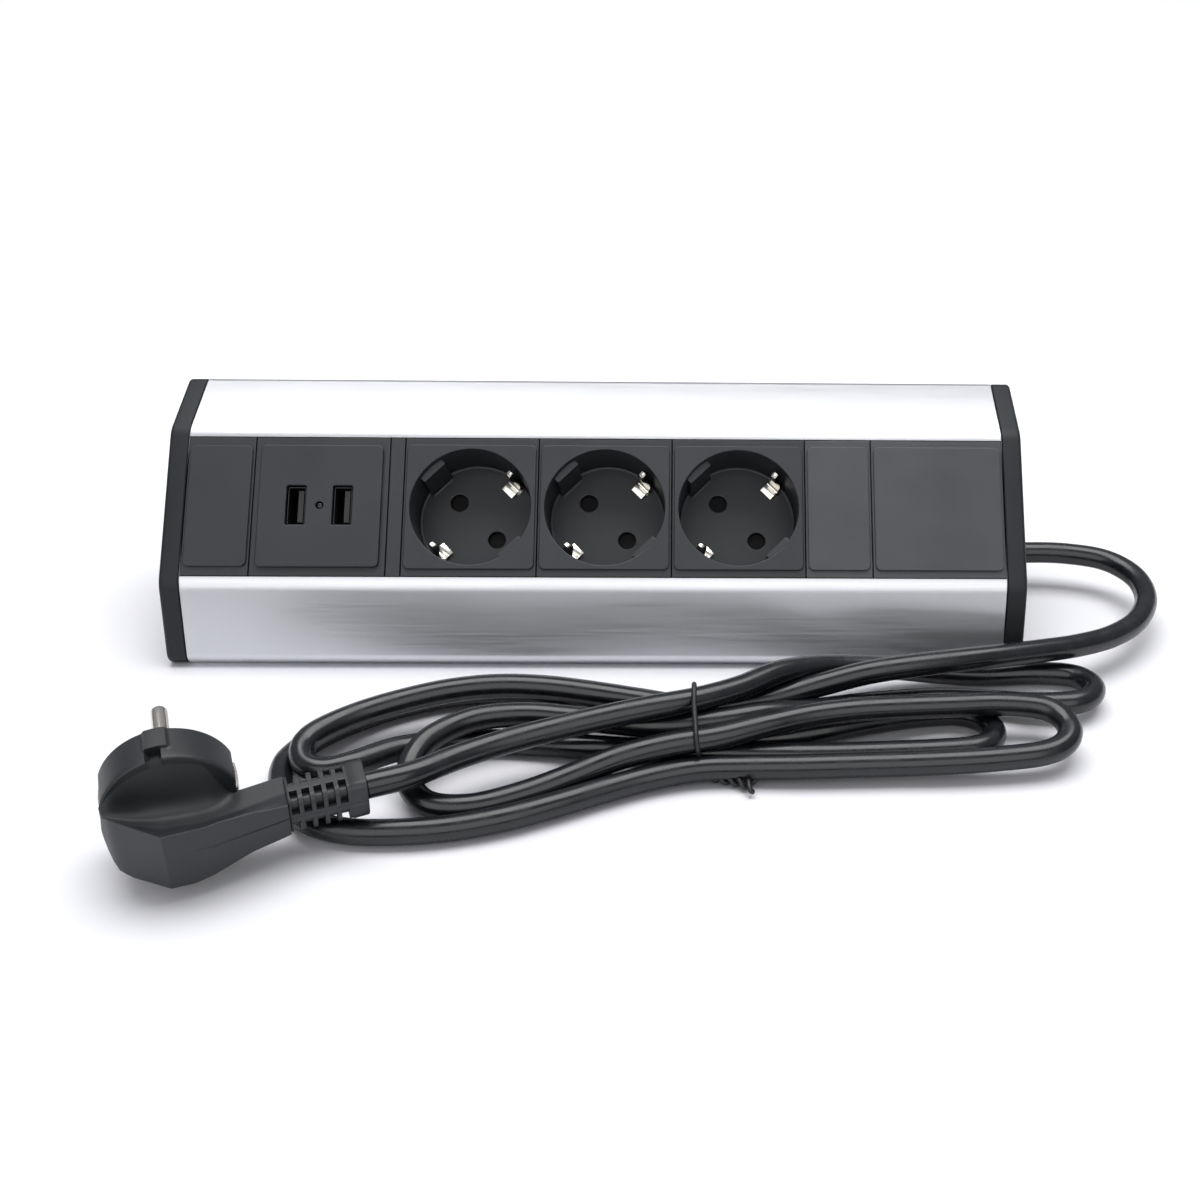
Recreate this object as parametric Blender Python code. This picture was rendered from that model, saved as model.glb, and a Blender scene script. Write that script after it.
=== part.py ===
"""Desk power strip: an aluminium corner profile with snapped-in modules and a tied mains lead."""

import math

import bmesh
import bpy
from mathutils import Matrix, Vector

MM = 0.001
GAP = 0.3

# Profile section, in (y, z) millimetres, sharp corners before rounding
HALF_LEG = 37.3
LEG = 74.6
LEAN = math.radians(15.5)
CORNER_FRONT = 4.0
CORNER_BACK = 2.0
CORNER_TOP = 3.0
KNEE = 10.0
WALL = 1.8
HALF_LENGTH = 137.5
OPENING_HALF = 24.4
LIP_DEPTH = 5.0
LIP_THICK = 1.6
PORT_RADIUS = 3.7
PORT_HOLE = 1.8
PORTS = ((-30.9, 4.9), (32.4, 68.2))

# End caps and their screws
CAP_THICK = 6.7
SPIGOT_DEPTH = 4.0
SPIGOT_WALL = 2.2
SCREW_HEAD = 3.0
SCREW_SHANK = 1.5
SCREW_LENGTH = 18.0

# Band frame: its middle on the 45 degree face
BAND_Y = -10.3
BAND_Z = 47.6

# Modules in the band, left and right ends
LABEL_SPAN = (-137.5, -115.0)
USB_SPAN = (-115.0, -70.0)
FILLER_SPAN = (-70.0, -65.0)
SOCKET_SPANS = ((-65.0, -20.0), (-20.0, 25.0), (25.0, 70.0))
HALF_SPAN = (70.0, 92.5)
FULL_SPAN = (92.5, 137.5)
MODULE_HALF = 24.1
MODULE_INNER = 22.3
MODULE_PLATE = 2.2
HOOK_REACH = 25.6
HOOK_TOP = 5.3
HOOK_BOTTOM = 7.0
FACE_PROUD = 0.8
FACE_HALF = 21.7
FACE_CORNER = 2.0

# Socket insert
CUP_RADIUS = 20.15
CUP_OUTER = 21.4
FLOOR_TOP = -17.0
FLOOR_BOTTOM = -19.0
PIN_RING = 9.5
PIN_HOLE = 3.0
KEY_WIDTH = 9.5
KEY_DEPTH = 2.3
KEY_TOP = -1.8
CLIP_SLOT_WIDTH = 6.0
CLIP_SLOT_INNER = 16.2
CLIP_WIDTH = 5.0
CLIP_THICK = 0.7
BASE_HALF = 21.5
BASE_TOP = -19.3
BASE_BOTTOM = -34.0
SHUTTER_POCKET = 14.2
POCKET_FLOOR = -22.3
SHUTTER_TOP = -19.3
SHUTTER_THICK = 1.8
SHUTTER_HALF_WIDTH = 3.9
POST_RADIUS = 1.7
POST_BOTTOM = -22.0
PIVOT_HOLE = 2.0
SPRING_WIRE = 0.25
SPRING_RADIUS = 2.7
SPRING_LEVEL = -21.7
CHANNEL_ROOF = -24.0
CROSSBAR_TOP = -24.3
CROSSBAR_BOTTOM = -25.1
BAR_TOP = -34.3
BAR_THICK = 0.8
BAR_WIDTH = 5.2
BAR_ENDS = (-54.0, 78.0)
TINE_TOP = -24.5
TINE_OFFSET = 2.3
TINE_THICK = 0.6

# USB insert
USB_CENTRE = -92.5
USB_PORTS = (-7.9, 7.5)
USB_SHELL_W = 5.9
USB_SHELL_H = 13.2
USB_SHELL_WALL = 0.35
USB_DEPTH = 14.0
USB_PLATE_HALF_V = 21.2

# Mains lead
CORD_RADIUS = 3.9
EXIT_Y = 20.5
EXIT_Z = 13.0
GLAND_TIP = 152.9
TAIL_INNER = 112.0
SLEEVE_RADIUS = 6.0
COLLAR_RADIUS = 7.8
COLLAR_INNER = 6.0
COLLAR_OUTER = 2.0
LEAD_ROUTE = (
    (153.2, 20.5, 13.0),
    (163.0, 20.4, 13.2),
    (173.0, 18.2, 13.6),
    (184.0, 12.0, 13.6),
    (191.6, 2.0, 13.0),
    (193.4, -9.0, 12.5),
    (188.6, -21.0, 12.3),
    (179.0, -30.5, 12.3),
    (167.5, -37.0, 12.4),
    (155.0, -41.5, 12.5),
    (143.0, -44.4, 12.6),
    (131.0, -46.6, 12.6),
)
HANK_LOWER_TOP = 7.4
HANK_UPPER_TOP = 19.5
PLUG_END_ROUTE = ((-50.5, -114.4, 15.0), (-42.5, -109.0, 14.3), (-30.4, -100.8, 13.4))
TIE_X = 34.0


def hex_color(text):
    channels = []
    for start in (0, 2, 4):
        value = int(text[start : start + 2], 16) / 255
        channels.append(value / 12.92 if value < 0.04045 else ((value + 0.055) / 1.055) ** 2.4)
    return (*channels, 1.0)


def make_material(name, color, roughness, metallic):
    material = bpy.data.materials.new(name)
    material.use_nodes = True
    shader = material.node_tree.nodes["Principled BSDF"]
    shader.inputs["Base Color"].default_value = hex_color(color)
    shader.inputs["Roughness"].default_value = roughness
    shader.inputs["Metallic"].default_value = metallic
    material.diffuse_color = hex_color(color)
    return material


def clear_scene():
    for existing in list(bpy.data.objects):
        bpy.data.objects.remove(existing, do_unlink=True)


clear_scene()
PARTS = bpy.data.collections.new("desk_power_strip")
CUTTERS = bpy.data.collections.new("cutters")
bpy.context.scene.collection.children.link(PARTS)
bpy.context.scene.collection.children.link(CUTTERS)

BAND = Matrix.Translation((0, BAND_Y * MM, BAND_Z * MM)) @ Matrix.Rotation(math.radians(45), 4, "X")


def band_at(u, v=0.0, w=0.0):
    """A frame on the band: u along the strip, v up the band, w out of it."""
    return BAND @ Matrix.Translation((u * MM, v * MM, w * MM))


def place(name, mesh, matrix, group):
    obj = bpy.data.objects.new(name, mesh)
    obj.matrix_world = matrix
    group.objects.link(obj)
    if group is CUTTERS:
        obj.hide_render = True
        obj.display_type = "WIRE"
    return obj


def mesh_from(build, name):
    work = bmesh.new()
    build(work)
    bmesh.ops.recalc_face_normals(work, faces=work.faces)
    mesh = bpy.data.meshes.new(name)
    work.to_mesh(mesh)
    work.free()
    return mesh


def box(name, low, high, matrix, group, turn=0.0, bevel=0.0):
    """A box between two corners in the frame's millimetres, turned about the frame's w axis first."""
    size = [(b - a) * MM for a, b in zip(low, high)]
    centre = [(a + b) / 2 * MM for a, b in zip(low, high)]

    def build(work):
        bmesh.ops.create_cube(work, size=1.0)
        bmesh.ops.scale(work, vec=size, verts=work.verts)
        if bevel:
            bmesh.ops.bevel(
                work, geom=work.edges[:], offset=bevel * MM, segments=2, affect="EDGES", profile=0.5
            )
        bmesh.ops.translate(work, vec=centre, verts=work.verts)
        bmesh.ops.rotate(work, matrix=Matrix.Rotation(turn, 3, "Z"), verts=work.verts)

    return place(name, mesh_from(build, name), matrix, group)


def cylinder(name, radius, low, high, matrix, group, sides=32, top_radius=None, centre=(0.0, 0.0)):
    """A round bar along the frame's w axis."""

    def build(work):
        bmesh.ops.create_cone(
            work,
            cap_ends=True,
            segments=sides,
            radius1=radius * MM,
            radius2=(radius if top_radius is None else top_radius) * MM,
            depth=(high - low) * MM,
        )
        middle = (centre[0] * MM, centre[1] * MM, (low + high) / 2 * MM)
        bmesh.ops.translate(work, vec=middle, verts=work.verts)

    return place(name, mesh_from(build, name), matrix, group)


def slab(name, outlines, low, high, matrix, group):
    """Closed flat outlines, later ones being holes, extruded between two levels of the frame's w axis."""
    curve = bpy.data.curves.new(name + "_outline", "CURVE")
    curve.dimensions = "2D"
    curve.fill_mode = "BOTH"
    curve.extrude = (high - low) / 2 * MM
    for outline in outlines:
        spline = curve.splines.new("POLY")
        spline.points.add(len(outline) - 1)
        for point, (a, b) in zip(spline.points, outline):
            point.co = (a * MM, b * MM, 0, 1)
        spline.use_cyclic_u = True
    drawn = bpy.data.objects.new(name + "_outline", curve)
    bpy.context.scene.collection.objects.link(drawn)
    bpy.context.view_layer.update()
    mesh = bpy.data.meshes.new_from_object(drawn.evaluated_get(bpy.context.evaluated_depsgraph_get()))
    bpy.data.objects.remove(drawn)
    work = bmesh.new()
    work.from_mesh(mesh)
    bmesh.ops.remove_doubles(work, verts=work.verts, dist=1e-6)
    bmesh.ops.translate(work, vec=(0, 0, (low + high) / 2 * MM), verts=work.verts)
    bmesh.ops.recalc_face_normals(work, faces=work.faces)
    work.to_mesh(mesh)
    work.free()
    mesh.name = name
    return place(name, mesh, matrix, group)


def tube(name, points, radius, matrix, group, resolution=2):
    """A round wire through points in the frame's millimetres."""
    curve = bpy.data.curves.new(name, "CURVE")
    curve.dimensions = "3D"
    curve.bevel_depth = radius * MM
    curve.bevel_resolution = resolution
    curve.use_fill_caps = True
    spline = curve.splines.new("POLY")
    spline.points.add(len(points) - 1)
    for point, place_mm in zip(spline.points, points):
        point.co = (*(value * MM for value in place_mm), 1)
    spline.use_smooth = True
    return place(name, curve, matrix, group)


def boolean(target, other, operation):
    modifier = target.modifiers.new(f"{operation.lower()}_{other.name}", "BOOLEAN")
    modifier.operation = operation
    modifier.solver = "EXACT"
    modifier.object = other


def cut(target, *others):
    for other in others:
        boolean(target, other, "DIFFERENCE")


def join(target, *others):
    for other in others:
        boolean(target, other, "UNION")


def finish(obj, material, smooth=False):
    obj.data.materials.clear()
    obj.data.materials.append(material)
    if smooth and obj.type == "MESH":
        obj.data.shade_smooth()
        obj.data.set_sharp_from_angle(angle=math.radians(35))
    return obj


def circle(radius, centre=(0.0, 0.0), sides=24):
    return [
        (
            centre[0] + radius * math.cos(math.tau * k / sides),
            centre[1] + radius * math.sin(math.tau * k / sides),
        )
        for k in range(sides)
    ]


def fillet(points, radii, closed=True, steps=5):
    """The outline with each corner replaced by an arc."""
    result = []
    count = len(points)
    for index, (corner, radius) in enumerate(zip(points, radii)):
        if radius <= 0 or (not closed and index in (0, count - 1)):
            result.append(tuple(corner))
            continue
        here = Vector(corner)
        before = (Vector(points[index - 1]) - here).normalized()
        after = (Vector(points[(index + 1) % count]) - here).normalized()
        half = before.angle(after) / 2
        reach = radius / math.tan(half)
        centre = here + (before + after).normalized() * (radius / math.sin(half))
        start = here + before * reach - centre
        end = here + after * reach - centre
        sweep = start.angle_signed(end)
        for step in range(steps + 1):
            turned = start.copy()
            turned.rotate(Matrix.Rotation(-sweep * step / steps, 2))
            result.append((centre.x + turned.x, centre.y + turned.y))
    return result


def inset(points, distance):
    """A convex outline moved inward edge by edge."""
    count = len(points)
    middle = sum((Vector(p) for p in points), Vector((0.0, 0.0))) / count
    lines = []
    for index in range(count):
        a = Vector(points[index])
        b = Vector(points[(index + 1) % count])
        along = (b - a).normalized()
        normal = Vector((-along.y, along.x))
        if (middle - a).dot(normal) < 0:
            normal = -normal
        lines.append((a + normal * distance, along))
    moved = []
    for index in range(count):
        p, d = lines[index - 1]
        q, e = lines[index]
        t = ((q.x - p.x) * e.y - (q.y - p.y) * e.x) / (d.x * e.y - d.y * e.x)
        moved.append(tuple(p + d * t))
    return moved


def section_corners():
    """Front, back, top, upper knee and lower knee corners of the section."""
    slope = math.tan(LEAN)
    offset = BAND_Z - BAND_Y
    knee_y = (-HALF_LEG + offset * slope) / (1 - slope)
    lower = (knee_y, knee_y + offset)
    upper = (HALF_LEG - lower[1], HALF_LEG - lower[0])
    return [(-HALF_LEG, 0.0), (HALF_LEG, 0.0), (HALF_LEG, LEG), upper, lower]


def band_point(v, w):
    root = math.sqrt(0.5)
    return (BAND_Y + (v - w) * root, BAND_Z + (v + w) * root)


RADII = (CORNER_FRONT, CORNER_BACK, CORNER_TOP, KNEE, KNEE)
SECTION = section_corners()
OUTLINE = fillet(SECTION, RADII)
SHIFT_Y = -(min(p[0] for p in OUTLINE) + max(p[0] for p in OUTLINE)) / 2
# Frame of the section: its plane across the strip, its w axis along world X
ACROSS = Matrix(((0, 0, 1, 0), (1, 0, 0, 0), (0, 1, 0, 0), (0, 0, 0, 1)))
BAND = Matrix.Translation((0, SHIFT_Y * MM, 0)) @ BAND
ACROSS = Matrix.Translation((0, SHIFT_Y * MM, 0)) @ ACROSS
WORLD = Matrix.Identity(4)

ALUMINIUM = make_material("anodised_aluminium", "D6D7DA", 0.32, 1.0)
PLASTIC = make_material("black_polycarbonate", "303236", 0.5, 0.0)
CAP_PLASTIC = make_material("black_abs", "3A3C40", 0.55, 0.0)
BASE_PLASTIC = make_material("black_nylon", "26272A", 0.6, 0.0)
SHUTTER_PLASTIC = make_material("dark_acetal", "1E1F21", 0.45, 0.0)
NICKEL = make_material("nickel_plated_brass", "C9C6BE", 0.25, 1.0)
BRASS = make_material("brass", "C2A04F", 0.3, 1.0)
STEEL = make_material("zinc_plated_steel", "B4B7BA", 0.35, 1.0)
SPRING_STEEL = make_material("spring_steel", "8F9296", 0.3, 1.0)
BOARD = make_material("green_fr4", "1F5A36", 0.5, 0.0)
FERRITE = make_material("ferrite_core", "3B3A38", 0.7, 0.0)
CAN = make_material("capacitor_can", "2F4A78", 0.4, 0.0)
LENS = make_material("smoked_lens", "24262A", 0.2, 0.0)
TONGUE = make_material("black_lcp", "17181A", 0.5, 0.0)
CORD_PVC = make_material("black_pvc_sheath", "2A2E33", 0.42, 0.0)
PLUG_PVC = make_material("black_pvc_moulding", "3C3F42", 0.55, 0.0)
GROMMET = make_material("black_tpe", "2C2E30", 0.6, 0.0)
LIVE = make_material("brown_pvc", "6B3E23", 0.5, 0.0)
NEUTRAL = make_material("blue_pvc", "2C5BA8", 0.5, 0.0)
EARTH = make_material("green_yellow_pvc", "8DB33A", 0.5, 0.0)
TIE_PVC = make_material("tie_pvc", "191A1C", 0.5, 0.0)


def profile_outline():
    outer = [band_point(-OPENING_HALF, 0), SECTION[4], *SECTION[:4], band_point(OPENING_HALF, 0)]
    outer = fillet(outer, (0, KNEE, *RADII[:4], 0), closed=False)
    inner = inset(SECTION, WALL)
    lip = OPENING_HALF + LIP_THICK
    back = [
        band_point(OPENING_HALF, -LIP_DEPTH),
        band_point(lip, -LIP_DEPTH),
        band_point(lip, -WALL),
        inner[3],
        inner[2],
        inner[1],
        inner[0],
        inner[4],
        band_point(-lip, -WALL),
        band_point(-lip, -LIP_DEPTH),
        band_point(-OPENING_HALF, -LIP_DEPTH),
    ]
    radii = (0, 0, 0, 0, CORNER_TOP - WALL, CORNER_BACK - WALL, CORNER_FRONT - WALL, 0, 0, 0, 0)
    return outer + fillet(back, radii, closed=False, steps=3)


def build_profile():
    shell = slab("profile_shell", [profile_outline()], -HALF_LENGTH, HALF_LENGTH, ACROSS, PARTS)
    for index, port in enumerate(PORTS):
        boss = cylinder(
            f"port_boss_{index}", PORT_RADIUS, -HALF_LENGTH, HALF_LENGTH, ACROSS, CUTTERS, 20, centre=port
        )
        join(shell, boss)
    for index, port in enumerate(PORTS):
        low, high = -HALF_LENGTH - 1, HALF_LENGTH + 1
        hole = cylinder(f"port_hole_{index}", PORT_HOLE, low, high, ACROSS, CUTTERS, 16, centre=port)
        cut(shell, hole)
    finish(shell, ALUMINIUM, smooth=True)


def cap_spigot_outlines():
    """A rim that fits inside the profile."""
    outer = inset(SECTION, WALL + GAP)
    inner = inset(SECTION, WALL + GAP + SPIGOT_WALL)
    radii = (CORNER_FRONT - WALL, 0.4, CORNER_TOP - WALL, KNEE - WALL, KNEE - WALL)
    return [fillet(outer, radii, steps=3), inner]


def build_cap(side):
    name = "end_cap_right" if side > 0 else "end_cap_left"
    inner_face = side * (HALF_LENGTH + GAP)
    outer_face = side * (HALF_LENGTH + GAP + CAP_THICK)
    low, high = sorted((inner_face, outer_face))
    cap = slab(name, [OUTLINE], low, high, ACROSS, PARTS)
    low, high = sorted((side * (HALF_LENGTH - SPIGOT_DEPTH), inner_face + side))
    rim = slab(name + "_spigot", cap_spigot_outlines(), low, high, ACROSS, CUTTERS)
    join(cap, rim)
    # Room in the rim for the screw ports and the module band
    low, high = sorted((side * (HALF_LENGTH - SPIGOT_DEPTH - 1), inner_face))
    reliefs = [
        cylinder(f"{name}_port_{k}", PORT_RADIUS + GAP, low, high, ACROSS, CUTTERS, 20, centre=port)
        for k, port in enumerate(PORTS)
    ]
    band_relief = slab(
        name + "_band",
        [[band_point(v, w) for v, w in ((-29, 2), (29, 2), (29, -7.6), (-29, -7.6))]],
        low,
        high,
        ACROSS,
        CUTTERS,
    )
    cut(cap, *reliefs, band_relief)
    low, high = sorted((inner_face - side, outer_face + side))
    sunk, open_end = sorted((outer_face - side * 2.4, outer_face + side))
    for k, port in enumerate(PORTS):
        cut(cap, cylinder(f"{name}_hole_{k}", PORT_HOLE, low, high, ACROSS, CUTTERS, 16, centre=port))
        recess = cylinder(
            f"{name}_head_{k}", SCREW_HEAD + GAP, sunk, open_end, ACROSS, CUTTERS, 24, centre=port
        )
        cut(cap, recess)
    return cap


def build_cap_screw(side, index, port):
    name = f"cap_screw_{'right' if side > 0 else 'left'}_{index + 1}"
    face = side * (HALF_LENGTH + GAP + CAP_THICK)
    seat = face - side * (2.4 - GAP)
    low, high = sorted((face - side * 0.3, seat))
    screw = cylinder(name, SCREW_HEAD, low, high, ACROSS, PARTS, 24, centre=port)
    low, high = sorted((seat + side, seat - side * SCREW_LENGTH))
    join(screw, cylinder(name + "_shank", SCREW_SHANK, low, high, ACROSS, CUTTERS, 12, centre=port))
    arm = 1.9
    low, high = sorted((face - side * 1.3, face + side))
    for turn in (0, 1):
        reach = (arm, 0.35) if turn else (0.35, arm)
        cross = box(
            f"{name}_cross_{turn}",
            (port[0] - reach[0], port[1] - reach[1], low),
            (port[0] + reach[0], port[1] + reach[1], high),
            ACROSS,
            CUTTERS,
        )
        cut(screw, cross)
    finish(screw, STEEL, smooth=True)


def build_right_cap_fittings(cap):
    """The lead's hole, and the shelf inside that the cord clamp closes on."""
    centre = (EXIT_Y - SHIFT_Y, EXIT_Z)
    shelf = box(
        "cap_shelf",
        (centre[0] - 11, 2.4, 112.5),
        (centre[0] + 11, EXIT_Z - 1.5, HALF_LENGTH + 2),
        ACROSS,
        CUTTERS,
    )
    join(cap, shelf)
    start = HALF_LENGTH - COLLAR_INNER - 0.2
    end = HALF_LENGTH + 12
    groove = cylinder("shelf_groove", CORD_RADIUS + GAP, TAIL_INNER, end - 11, ACROSS, CUTTERS, 24, centre=centre)
    bore = cylinder("gland_bore", SLEEVE_RADIUS + GAP, start, end, ACROSS, CUTTERS, 32, centre=centre)
    end = HALF_LENGTH - COLLAR_OUTER + GAP
    collar = cylinder("gland_collar_room", COLLAR_RADIUS + GAP, start, end, ACROSS, CUTTERS, 32, centre=centre)
    cut(cap, groove, bore, collar)
    for index, side in enumerate((-8.0, 8.0)):
        hole = box(
            f"shelf_screw_hole_{index}",
            (centre[0] + side - 1.7, 4.5, 120.3),
            (centre[0] + side + 1.7, EXIT_Z, 123.7),
            ACROSS,
            CUTTERS,
        )
        cut(cap, hole)


def build_gland():
    centre = (EXIT_Y - SHIFT_Y, EXIT_Z)
    start = HALF_LENGTH - COLLAR_INNER
    end = HALF_LENGTH - COLLAR_OUTER
    gland = cylinder("cord_gland", SLEEVE_RADIUS, start, 145.5, ACROSS, PARTS, 32, centre=centre)
    collar = cylinder("gland_collar", COLLAR_RADIUS, start, end, ACROSS, CUTTERS, 32, centre=centre)
    flange = cylinder("gland_flange", 8.0, 144.8, 146.6, ACROSS, CUTTERS, 32, centre=centre)
    nose = cylinder("gland_nose", 6.6, 145.6, GLAND_TIP, ACROSS, CUTTERS, 32, 5.4, centre=centre)
    join(gland, collar, flange, nose)
    cut(gland, cylinder("gland_hole", CORD_RADIUS + GAP, 120, 160, ACROSS, CUTTERS, 24, centre=centre))
    finish(gland, GROMMET, smooth=True)


def build_clamp():
    centre = (EXIT_Y - SHIFT_Y, EXIT_Z)
    clamp = box(
        "cord_clamp",
        (centre[0] - 11, EXIT_Z + 0.5, 118.5),
        (centre[0] + 11, EXIT_Z + 7.5, 125.5),
        ACROSS,
        PARTS,
        bevel=0.6,
    )
    cut(clamp, cylinder("clamp_groove", CORD_RADIUS + GAP, 117, 127, ACROSS, CUTTERS, 24, centre=centre))
    for index, side in enumerate((-8.0, 8.0)):
        upright = Matrix.Translation((122 * MM, (EXIT_Y + side) * MM, 0))
        cut(clamp, cylinder(f"clamp_hole_{index}", 1.8, EXIT_Z, EXIT_Z + 9, upright, CUTTERS, 16))
        head = EXIT_Z + 7.5 + GAP
        screw = cylinder(f"clamp_screw_{index + 1}", 2.6, head, head + 1.9, upright, PARTS, 20)
        join(screw, cylinder(f"clamp_shank_{index}", 1.35, 5.0, head + 0.5, upright, CUTTERS, 12))
        slot = box(
            f"clamp_slot_{index}", (-3, -0.35, head + 1.0), (3, 0.35, head + 3), upright, CUTTERS, turn=0.6
        )
        cut(screw, slot)
        finish(screw, STEEL, smooth=True)
    finish(clamp, BASE_PLASTIC, smooth=True)


def module_section(v_half=MODULE_HALF):
    """Snap-in module section in (v, w): plate, two legs and their hooks."""
    return [
        (-v_half, 0),
        (v_half, 0),
        (v_half, -HOOK_TOP),
        (HOOK_REACH, -HOOK_TOP),
        (v_half, -HOOK_BOTTOM),
        (MODULE_INNER, -HOOK_BOTTOM),
        (MODULE_INNER, -MODULE_PLATE),
        (-MODULE_INNER, -MODULE_PLATE),
        (-MODULE_INNER, -HOOK_BOTTOM),
        (-v_half, -HOOK_BOTTOM),
        (-HOOK_REACH, -HOOK_TOP),
        (-v_half, -HOOK_TOP),
    ]


# Frame whose plane is (v, w) of the band and whose own third axis runs along the strip
BAND_ACROSS = BAND @ Matrix(((0, 0, 1, 0), (1, 0, 0, 0), (0, 1, 0, 0), (0, 0, 0, 1)))


def build_frame(name, span):
    middle = (span[0] + span[1]) / 2
    half = (span[1] - span[0]) / 2 - GAP / 2
    matrix = Matrix.Translation((middle * MM, 0, 0)) @ BAND_ACROSS
    return slab(name, [module_section()], -half, half, matrix, PARTS), middle, half


def square_outline(half_u, half_v, corner):
    points = [(-half_u, -half_v), (half_u, -half_v), (half_u, half_v), (-half_u, half_v)]
    return fillet(points, (corner,) * 4, steps=3)


def build_blank(name, span, half_v=FACE_HALF):
    frame, middle, half = build_frame(name, span)
    outline = square_outline(half - 0.7, half_v, FACE_CORNER)
    join(frame, slab(name + "_plate", [outline], -1, FACE_PROUD, band_at(middle), CUTTERS))
    finish(frame, PLASTIC)


def build_filler():
    frame, _, _ = build_frame("filler_strip", FILLER_SPAN)
    finish(frame, PLASTIC)


def radial_box(name, radii, width, levels, angle, matrix):
    """A box that reaches between two radii from the frame's middle, turned to an angle."""
    low = (radii[0], -width / 2, levels[0])
    high = (radii[1], width / 2, levels[1])
    return box(name, low, high, matrix, CUTTERS, turn=angle)


def build_socket_face(index, span):
    name = f"socket_face_{index + 1}"
    face, middle, _ = build_frame(name, span)
    here = band_at(middle)
    plate = slab(
        name + "_plate", [square_outline(FACE_HALF, FACE_HALF, FACE_CORNER)], -1, FACE_PROUD, here, CUTTERS
    )
    cup = cylinder(name + "_cup", CUP_OUTER, FLOOR_BOTTOM, -1, here, CUTTERS, 48)
    post = cylinder(name + "_post", POST_RADIUS, POST_BOTTOM, FLOOR_BOTTOM + 0.5, here, CUTTERS, 16)
    join(face, plate, cup)
    cut(face, cylinder(name + "_recess", CUP_RADIUS, FLOOR_TOP, 2, here, CUTTERS, 48))
    rim = cylinder(
        name + "_rim", CUP_RADIUS, FACE_PROUD - 0.6, FACE_PROUD + 0.4, here, CUTTERS, 48, CUP_RADIUS + 0.9
    )
    cut(face, rim)
    join(face, post)
    for k in (0, 1):
        angle = math.radians(135 + 180 * k)
        radii = (CUP_RADIUS - KEY_DEPTH, CUP_RADIUS + 0.6)
        key = radial_box(f"{name}_key_{k}", radii, KEY_WIDTH, (FLOOR_TOP - 0.5, KEY_TOP), angle, here)
        join(face, key)
    for k in (0, 1):
        angle = math.radians(135 + 180 * k)
        centre = (PIN_RING * math.cos(angle), PIN_RING * math.sin(angle))
        low, high = FLOOR_BOTTOM - 1, FLOOR_TOP + 1
        cut(face, cylinder(f"{name}_pin_{k}", PIN_HOLE, low, high, here, CUTTERS, 20, centre=centre))
        turn = math.radians(45 + 180 * k)
        slot = radial_box(f"{name}_clip_slot_{k}", (CLIP_SLOT_INNER, 23), CLIP_SLOT_WIDTH, (low, -3.0), turn, here)
        cut(face, slot)
    finish(face, PLASTIC, smooth=True)


def build_socket_base(index, middle):
    name = f"socket_base_{index + 1}"
    here = band_at(middle)
    base = box(name, (-BASE_HALF, -BASE_HALF, BASE_BOTTOM), (BASE_HALF, BASE_HALF, BASE_TOP), here, PARTS)
    cut(base, cylinder(name + "_pocket", SHUTTER_POCKET, POCKET_FLOOR, BASE_TOP + 1, here, CUTTERS, 32))
    channel = box(
        name + "_channel",
        (-21.6, -CLIP_SLOT_WIDTH / 2, BASE_BOTTOM - 1),
        (21.6, CLIP_SLOT_WIDTH / 2, CHANNEL_ROOF),
        here,
        CUTTERS,
        turn=math.radians(45),
    )
    cut(base, channel)
    for k in (0, 1):
        levels = (CHANNEL_ROOF - 0.5, BASE_TOP + 1)
        turn = math.radians(45 + 180 * k)
        slot = radial_box(f"{name}_arm_{k}", (CLIP_SLOT_INNER, 21.6), CLIP_SLOT_WIDTH, levels, turn, here)
        cut(base, slot)
        sign = -1 if k == 0 else 1
        centre = (sign * PIN_RING * math.sqrt(0.5), -sign * PIN_RING * math.sqrt(0.5))
        pocket = box(
            f"{name}_contact_{k}",
            (centre[0] - 3.4, centre[1] - 3.3, BASE_BOTTOM - 1),
            (centre[0] + 3.4, centre[1] + 3.3, POCKET_FLOOR + 1),
            here,
            CUTTERS,
        )
        cut(base, pocket)
    finish(base, BASE_PLASTIC)


def build_shutter(index, middle):
    name = f"shutter_{index + 1}"
    here = band_at(middle, 0, SHUTTER_TOP - SHUTTER_THICK / 2)
    ends = []
    for k in (0, 1):
        angle = math.radians(135 + 180 * k)
        centre = Vector((PIN_RING * math.cos(angle), PIN_RING * math.sin(angle)))
        for step in range(9):
            turn = angle - math.pi / 2 + math.pi * step / 8
            ends.append(
                (
                    centre.x + SHUTTER_HALF_WIDTH * math.cos(turn),
                    centre.y + SHUTTER_HALF_WIDTH * math.sin(turn),
                )
            )
    half = SHUTTER_THICK / 2
    shutter = slab(name, [ends, circle(PIVOT_HOLE, sides=16)], -half + GAP, half, here, PARTS)
    finish(shutter, SHUTTER_PLASTIC)


def build_shutter_spring(index, middle):
    """A torsion spring round the post: one coil and a leg that ends against the pocket's wall."""
    points = []
    turns = 14
    for step in range(turns + 1):
        angle = math.radians(10 + 330 * step / turns)
        points.append((SPRING_RADIUS * math.cos(angle), SPRING_RADIUS * math.sin(angle), SPRING_LEVEL))
    points.append((5.5, -2.4, SPRING_LEVEL))
    points.append((12.8, -2.8, SPRING_LEVEL))
    spring = tube(f"shutter_spring_{index + 1}", points, SPRING_WIRE, band_at(middle), PARTS, 1)
    finish(spring, SPRING_STEEL)


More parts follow.
